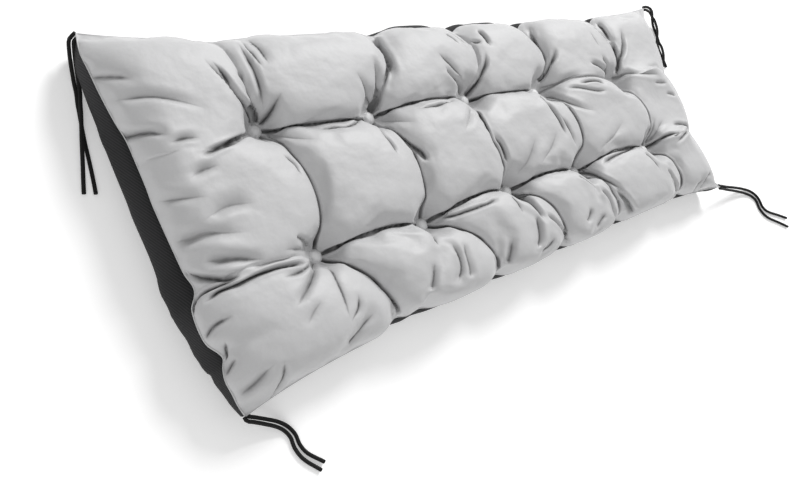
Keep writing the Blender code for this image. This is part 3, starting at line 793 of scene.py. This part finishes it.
# %% Press one fold
FOLD_ROUNDING = 0.0007   # the line at a fold's bottom is rounded off this much
FOLD_DRAW = 0.50         # how far points beside a fold are drawn in to its line
FOLD_REACH = 4.0         # a fold ends this many widths from its line
FOLD_LIP = 0.34          # height of the rolled edges beside a fold, as a share of its depth
LIP_PLACE = 1.9          # those edges lie this many widths from the line
LIP_SPREAD = 0.8         # and are this many widths across
LIP_WIDTH = 0.005        # folds wider than this have lower lips
SHARP_WIDTH = 0.0036     # folds wider than this get softer, paler lines of painted shade
DEEP_FOLD = 0.0060       # a fold of this depth gets the full painted shade at its bottom


def press_fold(cloth, line, depth, widths, fades, layer):
    """Presses one fold into the free points and notes how much painted shade each one gets."""
    reach = FOLD_REACH * max(widths)
    low = line.min(axis=0) - reach
    high = line.max(axis=0) + reach
    close = np.all((cloth.points > low) & (cloth.points < high), axis=1)
    spots = cloth.points[close]
    normals = cloth.normals[close]
    offset, distance, side, share, past_end = beside_line(spots, normals, line)
    width = np.where(side > 0, *widths)
    strength = fade(share, *fades) * np.exp(-past_end / width) * cloth.free[close]
    rounded = np.sqrt(distance ** 2 + FOLD_ROUNDING ** 2) - FOLD_ROUNDING
    trough = np.exp(-rounded / width)
    lip = FOLD_LIP * np.exp(-((distance / width - LIP_PLACE) / LIP_SPREAD) ** 2)
    lip *= np.minimum(1, LIP_WIDTH / width)
    drawn = FOLD_DRAW * strength * np.exp(-distance / width)
    spots -= offset * drawn[:, None]
    spots -= normals * (depth * strength * (trough - lip))[:, None]
    cloth.points[close] = spots
    # painted shade: the slit darkens the colour in a thin line at the fold's bottom and a soft band
    # round it
    slit = strength * min(1, depth / DEEP_FOLD) * min(1, 2 * SHARP_WIDTH / sum(widths))
    painted_shade_band = slit * np.exp(-(distance / width) ** 2)
    cloth.shade[close] = np.maximum(cloth.shade[close], painted_shade_band)
    cloth.note(close, layer, np.sign(side) * distance * (1 - drawn), slit)


# %% Press the whole table
FOLD_STEP = 0.003        # a laid route has a point this often
NARROWER = 0.75          # the table's widths were read off soft shading, so they are too wide


def press_folds(mesh, share, least_width):
    """Presses every fold of the table, not narrower than the mesh can carry."""
    tree = cloth_tree(mesh)
    cloth = Cloth(mesh)
    cloth.offsets[:] = FAR_OFF
    cloth.weights[:] = 0
    for number, (depth, left, right, start, end, seen) in enumerate(FOLDS):
        depth = share * depth * MM
        widths = [max(NARROWER * width * MM, least_width) for width in (left, right)]
        route = smooth_route(np.array(seen) * MM, FOLD_STEP)
        depths = depth * fade(np.linspace(0, 1, len(route)), start, end)
        line = laid_on_cloth(route, tree, depths)
        if len(line) > 2:
            press_fold(cloth, line, depth, widths, (start, end), number % LAYERS)
    cloth.write()


# %% [markdown]
# ## The sides in section
#
# Below the seam the black cloth runs down to the floor and in under the cushion. Filling bulges it
# out, most at the near end, and beside some puffs it peeks out past the seam. It could be modelled
# ring by ring. One section, with the bulge as its only measure, serves every point of the rim.

# %% Side section
CLOTH = 0.002            # thickness of the back cloth
GAP = 0.0003             # between cloths that touch
CONTACT_INSET = 0.030    # how far in under the cushion its edge meets the floor
BULGE_LOWER = 0.75       # below 1, the bulge is nearer to the seam than to the floor
PUCKER_FILL = 0.6        # the share of a pucker that the back cloth bulges out again
NEAR_BACK = (
    # how far the back cloth swells out below the near seam: (place, swell), in millimetres
    (-268, 0), (-245, 0), (-220, 1), (-205, 3.5), (-198, 8), (-191, 15), (-184, 14), (-170, 6),
    (-152, 4), (-135, 8), (-120, 13), (-107, 24), (-94, 27), (-72, 23), (-56, 19), (-20, 17),
    (80, 17), (115, 15), (150, 8), (185, 5), (271, 0),
)
BACK_PEEKS = {
    # where the back cloth swells out past the seam: (place along it, half width, swell)
    "upper": ((-0.040, 0.054, 0.012), (0.060, 0.022, 0.006), (0.140, 0.065, 0.009),
              (0.207, 0.018, 0.003), (0.425, 0.020, 0.002)),
}


def side_frame(column, row, grid):
    """Outward direction and back bulge at a point of the rim."""
    columns, rows = grid.shape[:2]
    if row in (0, rows - 1):
        side = "lower" if row == 0 else "upper"
    else:
        side = "near" if column == 0 else "far"
    point = grid[column, row]
    axis = along_axis(side)
    share = seam_share(side, point[axis])
    outward = np.ones(2)
    outward[axis] = 2 * share - 1
    outward[1 - axis] = 1.0 if side in ("upper", "far") else -1.0
    if side == "near":
        bulge = read_curve(NEAR_BACK, point[axis])
    else:
        bulge = SIDES[side][4] * ear_bow(share) + PUCKER_FILL * pucker(side, point[axis])
        bulge += sum(swell * math.exp(-((point[axis] - place) / half) ** 4)
                     for place, half, swell in BACK_PEEKS.get(side, ()))
    return outward, bulge


def side_profile(height, bulge, thickness, steps):
    """The side in section, from the seam down to the flat underside."""
    shares = np.arange(steps + 1) / steps
    out = bulge * np.sin(np.pi * shares ** BULGE_LOWER) - CONTACT_INSET * shares ** 3
    up = height * (1 - np.sin(shares * np.pi / 2))
    run, fall = np.gradient(out), np.gradient(up)
    run[0], fall[0] = 0.0, -1.0
    run[-1], fall[-1] = -1.0, 0.0
    length = np.hypot(run, fall)
    return out + thickness * fall / length, up - thickness * run / length


# %% [markdown]
# ## The front as a mesh
#
# The front cloth starts as a grid primitive with one square for each square of the start form.
# Each of its points then takes its place in that form. It could end at the seam, but a filled
# piece has to be closed. So rings of points are added below the seam: first round a small rolled
# lip, then down inside the back cloth to a flat underside. Extruding the edge would do this too,
# but it lists its new points in another order each time, and the simulation would feel that.

# %% Front grid
columns, rows = form.shape[:2]
bpy.ops.object.select_all(action="DESELECT")
bpy.ops.mesh.primitive_grid_add(x_subdivisions=columns - 1, y_subdivisions=rows - 1, size=1)
front = bpy.context.view_layer.objects.active
front.name = "front_cloth"
front.data.name = "front_cloth"
shape = bmesh.new()
shape.from_mesh(front.data)
number_of = np.zeros((columns, rows), int)
for vertex in shape.verts:
    column = round((vertex.co.x + 0.5) * (columns - 1))
    row = round((vertex.co.y + 0.5) * (rows - 1))
    number_of[column, row] = vertex.index
    vertex.co = form[column, row]
print("front grid:", columns, "by", rows, "points")

# %% Rings below the seam
SIDE_STEPS = 2
INNER_DEPTH = CLOTH + 3 * GAP    # the front's own sides lie this far inside the back cloth
LIP = (
    # (out, up) from the seam, in millimetres: the rolled edge in section
    (0.6, 1.3), (1.9, 1.1), (2.2, -0.6), (0.9, -1.6), (-1.2, -1.6),
)


def rim_indices(columns, rows):
    """Grid positions round the edge, in one closed turn."""
    rim = [(column, 0) for column in range(columns - 1)]
    rim += [(columns - 1, row) for row in range(rows - 1)]
    rim += [(column, rows - 1) for column in range(columns - 1, 0, -1)]
    rim += [(0, row) for row in range(rows - 1, 0, -1)]
    return rim


def lip_place(seam, bulge, number):
    """How far out and up from the seam one ring of the lip lies."""
    out, up = LIP[number]
    return out * MM, up * MM


def side_place(seam, bulge, number):
    """The same for one ring of the sides."""
    out, up = side_profile(seam.z, bulge, INNER_DEPTH, SIDE_STEPS)
    return out[number + 1], up[number + 1] - seam.z


def add_ring(shape, ring, points):
    """Adds a ring of points, and a band of faces between it and the last ring."""
    fresh = [shape.verts.new(point) for point in points]
    for turn in range(len(ring)):
        shape.faces.new((ring[turn], ring[turn - 1], fresh[turn - 1], fresh[turn]))
    return fresh


# %% Lip and sides of the front
shape.verts.ensure_lookup_table()
rim = rim_indices(columns, rows)
ring = [shape.verts[number_of[place]] for place in rim]
frames = [(vertex.co.copy(), *side_frame(*place, form)) for vertex, place in zip(ring, rim)]
for ring_place, count in ((lip_place, len(LIP)), (side_place, SIDE_STEPS)):
    for number in range(count):
        points = []
        for seam, outward, bulge in frames:
            out, up = ring_place(seam, bulge, number)
            points.append((seam.x + outward[0] * out, seam.y + outward[1] * out, seam.z + up))
        ring = add_ring(shape, ring, points)
shape.to_mesh(front.data)
shape.free()
print("front cloth:", len(front.data.vertices), "points")

# %% First folds
FIRST_SHARE = 0.30       # of each fold's depth, pressed before the cloth settles
FIRST_WIDTH = 0.006      # no fold is narrower than this yet

top_count = columns * rows
# shade holds the painted shade round the folds; fold_offset and fold_weight place the painted shade
# lines and the bump's grooves
for name, kind in (("shade", "FLOAT"), ("fold_offset", "FLOAT_VECTOR"),
                   ("fold_weight", "FLOAT_VECTOR"), ("free", "FLOAT")):
    front.data.attributes.new(name, kind, "POINT")
is_free = np.arange(len(front.data.vertices)) < top_count
front.data.attributes["free"].data.foreach_set("value", is_free.astype(float))
press_folds(front.data, FIRST_SHARE, FIRST_WIDTH)
print("free points:", top_count)

# %% [markdown]
# ## Letting the cloth settle
#
# Pressed folds alone look carved. Blender's cloth simulation makes them hang together: the cloth
# is a little larger than its start form, filling pushes it out from below, and it may not move at
# the seam, in the lip and under the buttons. Twenty frames are enough, and no point may travel
# further than a cap, so that the puffs stay where the solid has them.

# %% Grips of the creases
GRIPS = {
    # how tightly each crease is drawn, from the near end to the far end: between the buttons of a
    # row, between the rows, and from the lower row to the seam
    "lower": (1.0, 1.0, 1.0, 0.6), "upper": (0.9, 1.0, 0.8, 0.25),
    "columns": (1.0, 1.0, 1.0, 0.5, 1.0), "outer": (1.0, 0.9, 0.5, 0.4, 0.9),
}


def crease_numbers():
    """Point numbers along the creases that run from button to button, with their grips."""
    lines = []
    for row, name in ((1, "lower"), (2, "upper")):
        for column, grip in enumerate(GRIPS[name], start=1):
            across = slice(column * STEPS_LONG, (column + 1) * STEPS_LONG + 1)
            lines.append((number_of[across, row * STEPS_WIDE], grip))
    for column, grip in enumerate(GRIPS["columns"], start=1):
        lines.append((number_of[column * STEPS_LONG, STEPS_WIDE:2 * STEPS_WIDE + 1], grip))
    for column, grip in enumerate(GRIPS["outer"], start=1):
        lines.append((number_of[column * STEPS_LONG, 1:STEPS_WIDE + 1], grip))
    return lines


print("creases:", len(crease_numbers()))

# %% What is held
BUTTON_HOLD = 0.012      # cloth is held this far round a button's middle
CREASE_HOLD = 0.6        # and this firmly along the sewn creases


def hold_weights(points, count):
    """1 where the cloth is sewn, less along the creases, 0 where it is free."""
    weights = np.zeros(len(points))
    weights[count:] = 1.0
    for numbers, grip in crease_numbers():
        weights[numbers] = CREASE_HOLD * grip
    for row_places in BUTTON_ROWS.values():
        for place in row_places:
            away = np.hypot(points[:, 0] - place[0], points[:, 1] - place[1])
            weights = np.maximum(weights, np.clip(2 - away / BUTTON_HOLD, 0, 1))
    return weights


# %% Settle
SETTLE_FRAMES = 20
PRESSURE = 1.5
EXCESS = -0.03           # the cloth is this share larger than its start form
MOVE_CAP = 0.006         # the furthest that a point may move


def settle(cloth, weights):
    """Where the cloth's points are after the simulation."""
    group = cloth.vertex_groups.new(name="held")
    for number, weight in enumerate(weights):
        if weight > 0:
            group.add([number], float(weight), "REPLACE")
    modifier = cloth.modifiers.new("settle", "CLOTH")
    settings = modifier.settings
    settings.quality = 5
    settings.mass = 0.3
    settings.tension_stiffness = 15
    settings.compression_stiffness = 15
    settings.shear_stiffness = 8
    settings.bending_stiffness = 0.3
    settings.vertex_group_mass = "held"
    settings.use_pressure = True
    settings.uniform_pressure_force = PRESSURE
    settings.shrink_min = EXCESS
    settings.effector_weights.gravity = 0
    modifier.collision_settings.use_self_collision = False
    scene = bpy.context.scene
    for number in range(1, SETTLE_FRAMES + 1):
        scene.frame_set(number)
    settled = cloth.evaluated_get(bpy.context.evaluated_depsgraph_get()).data
    points = numbers_of(settled.vertices, "co", 3)
    cloth.modifiers.remove(modifier)
    cloth.vertex_groups.remove(group)
    scene.frame_set(1)
    return points


before = numbers_of(front.data.vertices, "co", 3)
moved = settle(front, hold_weights(before, top_count)) - before
distance = np.linalg.norm(moved, axis=1)
print("settled: median", round(float(np.median(distance)) * 1000, 1), "mm, most",
      round(float(distance.max()) * 1000, 1), "mm")
moved *= np.minimum(1, MOVE_CAP / np.maximum(distance, 1e-9))[:, None]
move_points(front.data, before + moved)

# %% [markdown]
# ## Finishing the front mesh
#
# One level of subdivision rounds the squares. The full folds and the sewn creases are pressed only
# then, because subdividing would blunt them. A light smoothing takes out the steps where a fold
# crosses the mesh's lines, and one flat face closes the underside.

# %% Smoothing
RELAX_TIMES = 2
RELAX_SHARE = 0.3        # how far a point moves towards the middle of its neighbours


def relax(mesh):
    """Evens out the steps where a fold crosses the mesh's lines."""
    ends = np.zeros(len(mesh.edges) * 2, int)
    mesh.edges.foreach_get("vertices", ends)
    first, last = ends.reshape(-1, 2).T
    points = numbers_of(mesh.vertices, "co", 3)
    free = numbers_of(mesh.attributes["free"].data, "value")[:, None]
    count = np.bincount(ends, minlength=len(points))[:, None]
    for _ in range(RELAX_TIMES):
        total = np.zeros_like(points)
        for axis in range(3):
            total[:, axis] = (np.bincount(first, points[last, axis], len(points))
                              + np.bincount(last, points[first, axis], len(points)))
        points += RELAX_SHARE * free * (total / count - points)
    move_points(mesh, points)


# %% Sewn creases
CREASE_DEPTH = 0.009
CREASE_WIDTH = 0.0024
CREASE_FADE = 0.08       # the share of a crease over which it eases out at each end


def press_creases(mesh):
    """Presses the creases between the buttons along the mesh's own lines."""
    cloth = Cloth(mesh)
    for number, (line_numbers, grip) in enumerate(crease_numbers()):
        line = smooth_route(cloth.points[line_numbers], FOLD_STEP)
        press_fold(cloth, line, grip * CREASE_DEPTH, (CREASE_WIDTH, CREASE_WIDTH),
                   (CREASE_FADE, CREASE_FADE), number % LAYERS)
    cloth.write()


# %% Finish and close the front
SECOND_SHARE = 1.20      # the folds' depth, as a share of the table's
SECOND_WIDTH = 0.0022    # and their least width, now that the mesh is finer

select_only(front)
bpy.ops.object.modifier_add(type="SUBSURF")
smoothing = front.modifiers[-1]
smoothing.levels = 1
smoothing.render_levels = 1
bpy.ops.object.modifier_apply(modifier=smoothing.name)
press_folds(front.data, SECOND_SHARE, SECOND_WIDTH)
press_creases(front.data)
relax(front.data)
shape = bmesh.new()
shape.from_mesh(front.data)
bmesh.ops.edgeloop_fill(shape, edges=[edge for edge in shape.edges if edge.is_boundary])
bmesh.ops.recalc_face_normals(shape, faces=shape.faces)
shape.to_mesh(front.data)
shape.free()
front.data.shade_smooth()
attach(front, "root")
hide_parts("front_panel")
print("front:", len(front.data.polygons), "faces")

# %% [markdown]
# ## The back cloth
#
# The back is a black sheet under the filling whose sides come up to the seam. It could be cut flat
# and folded up by simulation, but it is stretched tight, so its form is known. It is made as rings
# round the cushion, from the seam down to the flat underside, closed by one flat face and given
# its thickness with Solidify.

# %% Rings of the back cloth
BACK_STEPS = 14          # rings from the seam to the underside

vertices = []
for column, row in rim:
    seam = form[column, row]
    outward, bulge = side_frame(column, row, form)
    out, up = side_profile(seam[2], bulge, 0.0, BACK_STEPS)
    up[0] -= GAP
    vertices += [(*(seam[:2] + outward * distance), height) for distance, height in zip(out, up)]
print("back cloth:", len(vertices), "points")

# %% Back cloth
around = len(vertices) // (BACK_STEPS + 1)
faces = []
for turn in range(around):
    for step in range(BACK_STEPS):
        here = turn * (BACK_STEPS + 1) + step
        there = (turn + 1) % around * (BACK_STEPS + 1) + step
        faces.append((here, here + 1, there + 1, there))
faces.append([turn * (BACK_STEPS + 1) + BACK_STEPS for turn in range(around)])
mesh = bpy.data.meshes.new("back_cloth")
mesh.from_pydata(vertices, [], faces)
back_cloth = add_object("back_cloth", mesh)
shape = bmesh.new()
shape.from_mesh(mesh)
bmesh.ops.recalc_face_normals(shape, faces=shape.faces)
shape.to_mesh(mesh)
area = sum(face.calc_area() for face in shape.faces)
shape.free()
mesh.shade_smooth()
print("back cloth area:", round(area, 3), "square metres")

# %% Thickness of the back cloth
select_only(back_cloth)
bpy.ops.object.modifier_add(type="SOLIDIFY")
wall = back_cloth.modifiers[-1]
wall.thickness = CLOTH
wall.offset = -1
bpy.ops.object.modifier_apply(modifier=wall.name)
for vertex in mesh.vertices:
    vertex.co.z = max(vertex.co.z, 0.0)
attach(back_cloth, "root")
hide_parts("back_panel")
print("back cloth:", len(mesh.polygons), "faces")

# %% [markdown]
# ## The covered buttons
#
# A covered button is a domed mould with cloth drawn over it and gathered underneath. A squashed
# sphere would be quicker, but the rim that turns under is what shows. So a disc is extruded up its
# section, one ring after another, and then pleated a little round its side.

# %% One button
BUTTON_RADIUS = 0.011
BUTTON_SECTION = (
    # share of the radius, height in millimetres
    (0.80, 0.0), (0.97, 0.5), (1.0, 1.2), (0.89, 1.9), (0.81, 3.0), (0.74, 4.2), (0.60, 5.3),
    (0.42, 6.0), (0.20, 6.4), (0.06, 6.5),
)
BUTTON_SIDES = 32


def build_button():
    """One button at the origin, turned from its section."""
    bpy.ops.object.select_all(action="DESELECT")
    bpy.ops.mesh.primitive_circle_add(vertices=BUTTON_SIDES, fill_type="NGON",
                                      radius=BUTTON_SECTION[0][0] * BUTTON_RADIUS)
    button = bpy.context.view_layer.objects.active
    bpy.ops.object.mode_set(mode="EDIT")
    bpy.ops.mesh.select_all(action="SELECT")
    for (before, low), (after, high) in zip(BUTTON_SECTION, BUTTON_SECTION[1:]):
        bpy.ops.mesh.extrude_region_move(
            TRANSFORM_OT_translate={"value": (0, 0, (high - low) * MM)})
        share = after / before
        bpy.ops.transform.resize(value=(share, share, 1))
    bpy.ops.mesh.select_all(action="SELECT")
    bpy.ops.mesh.normals_make_consistent(inside=False)
    bpy.ops.object.mode_set(mode="OBJECT")
    button.data.shade_smooth()
    return button


# %% Ten buttons
BUTTON_GATHERS = 7       # soft pleats of the cloth drawn over a button
GATHER_DEPTH = 0.035     # as a share of its radius
BUTTON_LIFT = -0.0015    # a button is drawn this far down into its seat

pattern = build_button()
buttons = []
for row, places in BUTTON_ROWS.items():
    for number, place in enumerate(places, start=1):
        button = add_object(f"covered_button_{row}_{number}", pattern.data.copy())
        for vertex in button.data.vertices:
            angle = math.atan2(vertex.co.y, vertex.co.x) + number
            pleat = 1 - GATHER_DEPTH * (1 + math.cos(BUTTON_GATHERS * angle))
            vertex.co = Vector((vertex.co.x * pleat, vertex.co.y * pleat, vertex.co.z))
            vertex.co += Vector((*place, BUTTON_SEAT + BUTTON_LIFT))
        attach(button, "root")
        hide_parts(f"button_{row}_{number}")
        buttons.append(button)
bpy.data.objects.remove(pattern)
print("buttons:", len(buttons))

# %% [markdown]
# ## Writing a finish as sums
#
# A finish is a graph of nodes. Wires between maths nodes are slow to write one by one, so this
# small class lets Python's own + - * / add the Math nodes. Any other node comes from `node`,
# which sets the node's options first and then its sockets.

# %% Wires
class Wire:
    """One output of a node. Sums on wires add Math nodes to the same finish."""

    def __init__(self, tree, socket=None):
        self.tree = tree
        self.socket = socket

    def node(self, kind, inputs=(), options=(), output=0):
        """Adds a node with its options and the values or wires of its sockets."""
        made = self.tree.nodes.new(kind)
        for option, value in dict(options).items():
            setattr(made, option, value)
        for name, value in dict(inputs).items():
            if isinstance(value, Wire):
                self.tree.links.new(value.socket, made.inputs[name])
            else:
                made.inputs[name].default_value = value
        return Wire(self.tree, made.outputs[output])

    def maths(self, operation, *values):
        return self.node("ShaderNodeMath", dict(enumerate(values)), {"operation": operation})

    def __add__(self, other):
        return self.maths("ADD", self, other)

    __radd__ = __add__

    def __mul__(self, other):
        return self.maths("MULTIPLY", self, other)

    __rmul__ = __mul__

    def __sub__(self, other):
        return self.maths("SUBTRACT", self, other)

    def __rsub__(self, other):
        return self.maths("SUBTRACT", other, self)

    def __truediv__(self, other):
        return self.maths("DIVIDE", self, other)


def start_finish(name):
    """A new material: (material, its shader node, a wire to build from)."""
    material = bpy.data.materials.new(name)
    material.use_nodes = True
    tree = material.node_tree
    return material, tree.nodes["Principled BSDF"], Wire(tree)


def plug_in(wire, shader, name):
    wire.tree.links.new(wire.socket, shader.inputs[name])


def coloured(tone, colour):
    """A colour as bright as the tone, with these shares of it in red, green and blue."""
    red, green, blue = (tone * share for share in colour)
    return tone.node("ShaderNodeCombineColor", {"Red": red, "Green": green, "Blue": blue})


# %% [markdown]
# ## The satin
#
# The front is a pale grey satin-like cloth: soft wide highlights, a very fine grain, slow waves
# where the filling is uneven, and thin dark lines of painted shade at the bottom of tight folds,
# with a softer painted shade round them. An image texture would hold one cushion's folds. Noise
# at four scales and the noted distances to the folds do the same for this mesh, at any distance.
# The buttons are the same cloth painted paler: painted light that offsets the shade of their seats.

# %% Lines of the folds
LINE_WIDTH = 0.0014      # of the painted shade line at a fold's bottom
GROOVE_WIDTH = 0.0020    # of the groove beside it in the bump


def fold_lines(wire, width):
    """1 on the lines of the noted folds, falling to 0 over about this width."""
    offsets = wire.node("ShaderNodeAttribute", options={"attribute_name": "fold_offset"},
                        output="Vector")
    weights = wire.node("ShaderNodeAttribute", options={"attribute_name": "fold_weight"},
                        output="Vector")
    total = None
    for layer in range(LAYERS):
        offset = wire.node("ShaderNodeSeparateXYZ", {0: offsets}, output=layer) / width
        weight = wire.node("ShaderNodeSeparateXYZ", {0: weights}, output=layer)
        spread = offset * offset + 1
        line = weight / (spread * spread)
        total = line if total is None else total.maths("MAXIMUM", total, line)
    return total


# %% Satin
PAINTED_LINE_SHADE = 0.96     # painted shade of the lines in tight folds
PAINTED_BROAD_SHADE = 0.30    # and the painted shade round them
LEAST_TONE = 0.94        # of the cloth's colour, before grain and clouds are added
GRAIN_TONE = 0.08
CLOUD_TONE = 0.05
DULLNESS = 0.50
CLOUD_DULLNESS = 0.12
GRAIN_SCALE = 420.0      # noise scales, from the weave's grain to the uneven filling
RIPPLE_SCALE = 85.0
SWELL_SCALE = 26.0
CLOUD_SCALE = 14.0
GRAIN_HEIGHT = 0.06      # millimetres, as are the heights below
RIPPLE_HEIGHT = 0.6
SWELL_HEIGHT = 3.0
GROOVE_DEPTH = 2.2


def noise(wire, place, scale, detail):
    """Soft random patches, from 0 to 1."""
    return wire.node("ShaderNodeTexNoise", {"Vector": place, "Scale": scale, "Detail": detail})


def satin(name, colour):
    """The satin in one colour: its tone with painted fold shade, how dull it is, and its relief."""
    material, shader, wire = start_finish(name)
    place = wire.node("ShaderNodeTexCoord", output="Object")
    grain = noise(wire, place, GRAIN_SCALE, 2.0)
    clouds = noise(wire, place, CLOUD_SCALE, 3.0)
    shade = wire.node("ShaderNodeAttribute", options={"attribute_name": "shade"}, output="Fac")
    tone = LEAST_TONE + GRAIN_TONE * grain + CLOUD_TONE * clouds
    # painted shade: the colour is darker round the folds and in thin lines at their bottoms
    tone = tone * (1 - PAINTED_BROAD_SHADE * shade)
    tone = tone * (1 - PAINTED_LINE_SHADE * fold_lines(wire, LINE_WIDTH))
    plug_in(coloured(tone, colour), shader, "Base Color")
    plug_in(DULLNESS + CLOUD_DULLNESS * clouds, shader, "Roughness")
    height = (SWELL_HEIGHT * noise(wire, place, SWELL_SCALE, 1.0)
              + RIPPLE_HEIGHT * noise(wire, place, RIPPLE_SCALE, 1.0)
              + GRAIN_HEIGHT * grain - GROOVE_DEPTH * fold_lines(wire, GROOVE_WIDTH))
    bump = wire.node("ShaderNodeBump", {"Height": height, "Strength": 1.0, "Distance": MM})
    plug_in(bump, shader, "Normal")
    shader.inputs["Sheen Weight"].default_value = 0.25
    shader.inputs["Sheen Roughness"].default_value = 0.4
    return material


front.data.materials.clear()
front.data.materials.append(satin("satin", (0.525, 0.525, 0.53)))
# painted light: the buttons' satin is paler than the front's, to offset the shade of their seats
button_satin = satin("button_satin", (0.76, 0.76, 0.765))
for button in buttons:
    button.data.materials.clear()
    button.data.materials.append(button_satin)
print("satin nodes:", len(front.data.materials[0].node_tree.nodes))

# %% [markdown]
# ## The black cloths
#
# The back is a coarse black twill and the ties are braided, and both look like fine slanting ribs.
# Modelled threads would take millions of faces. A wave texture on the diagonal, in the colour and
# in the bump, gives the same ribs: in Object coordinates on the flat back, and along the cord's
# own UV map on the ties.

# %% Black twill and braid
RIB_HEIGHT = 0.0006      # of a rib in the bump


def ribbed_black(name, coordinates, ribs, tones, relief, roughness, gloss):
    """A black finish with slanting ribs; tones are the dark, what ribs add, and the blue share."""
    material, shader, wire = start_finish(name)
    place = wire.node("ShaderNodeTexCoord", output=coordinates)
    wave = wire.node("ShaderNodeTexWave", {"Vector": place, **ribs},
                     {"bands_direction": "DIAGONAL"}, output="Fac")
    dark, added, blue = tones
    plug_in(coloured(dark + added * wave, (1, 1, blue)), shader, "Base Color")
    bump = wire.node("ShaderNodeBump", {"Height": wave, "Strength": relief, "Distance": RIB_HEIGHT})
    plug_in(bump, shader, "Normal")
    shader.inputs["Roughness"].default_value = roughness
    shader.inputs["Specular IOR Level"].default_value = gloss
    return material


back_cloth.data.materials.append(ribbed_black(
    "black_twill", "Object", {"Scale": 110.0, "Distortion": 0.4}, (0.012, 0.016, 1.05),
    relief=0.5, roughness=0.8, gloss=0.3))
braid = ribbed_black("black_braid", "UV", {"Scale": 300.0}, (0.005, 0.010, 1.0),
                     relief=0.6, roughness=0.75, gloss=0.25)
for strand in strands:
    strand.data.materials.clear()
    strand.data.materials.append(braid)
print("black finishes on", 1 + len(strands), "pieces")

# %% [markdown]
# ## Floor and light
#
# The cushion lies on a plain white studio floor. The floor glows a little, so that it stays white
# where the lamps don't reach and its shadows stay pale. A big soft key lamp stands behind the far
# upper corner, as the photograph's shading says, and throws the shadow towards the near end. A
# weak fill from the other side keeps the near sides readable. One lamp and a brighter world would
# be simpler, but would flatten the folds.

# %% Floor
FLOOR_SIZE = 90
FLOOR_TONE = (0.92, 0.92, 0.92, 1.0)
FLOOR_GLOW = 0.30
WHITE = (1.0, 1.0, 1.0, 1.0)

bpy.ops.object.select_all(action="DESELECT")
bpy.ops.mesh.primitive_plane_add(size=FLOOR_SIZE)
floor = bpy.context.view_layer.objects.active
floor.name = "floor"
material, shader, wire = start_finish("pale_floor")
for socket, value in (("Base Color", FLOOR_TONE), ("Roughness", 0.9),
                      ("Emission Color", WHITE), ("Emission Strength", FLOOR_GLOW)):
    shader.inputs[socket].default_value = value
floor.data.materials.append(material)

# %% Lamps
LIGHTS = (
    # name, place, size, watts
    ("key", (4.9, 4.9, 5.0), 3.6, 700),
    ("fill", (-3.6, -4.2, 3.4), 4.0, 100),
)
for name, place, size, watts in LIGHTS:
    light_data = bpy.data.lights.new(name, "AREA")
    light_data.shape = "DISK"
    light_data.size = size
    light_data.energy = watts
    light = add_object(name, light_data)
    light.location = place
    light.rotation_euler = (-Vector(place)).to_track_quat("-Z", "Y").to_euler()
    print(name, "lamp:", watts, "W")

# %% World
WORLD_STRENGTH = 0.40

world = bpy.data.worlds.new("studio")
world.use_nodes = True
backdrop = world.node_tree.nodes["Background"]
backdrop.inputs["Color"].default_value = WHITE
backdrop.inputs["Strength"].default_value = WORLD_STRENGTH
bpy.context.scene.world = world
bpy.context.scene.view_settings.view_transform = "Standard"
print("world strength:", WORLD_STRENGTH)
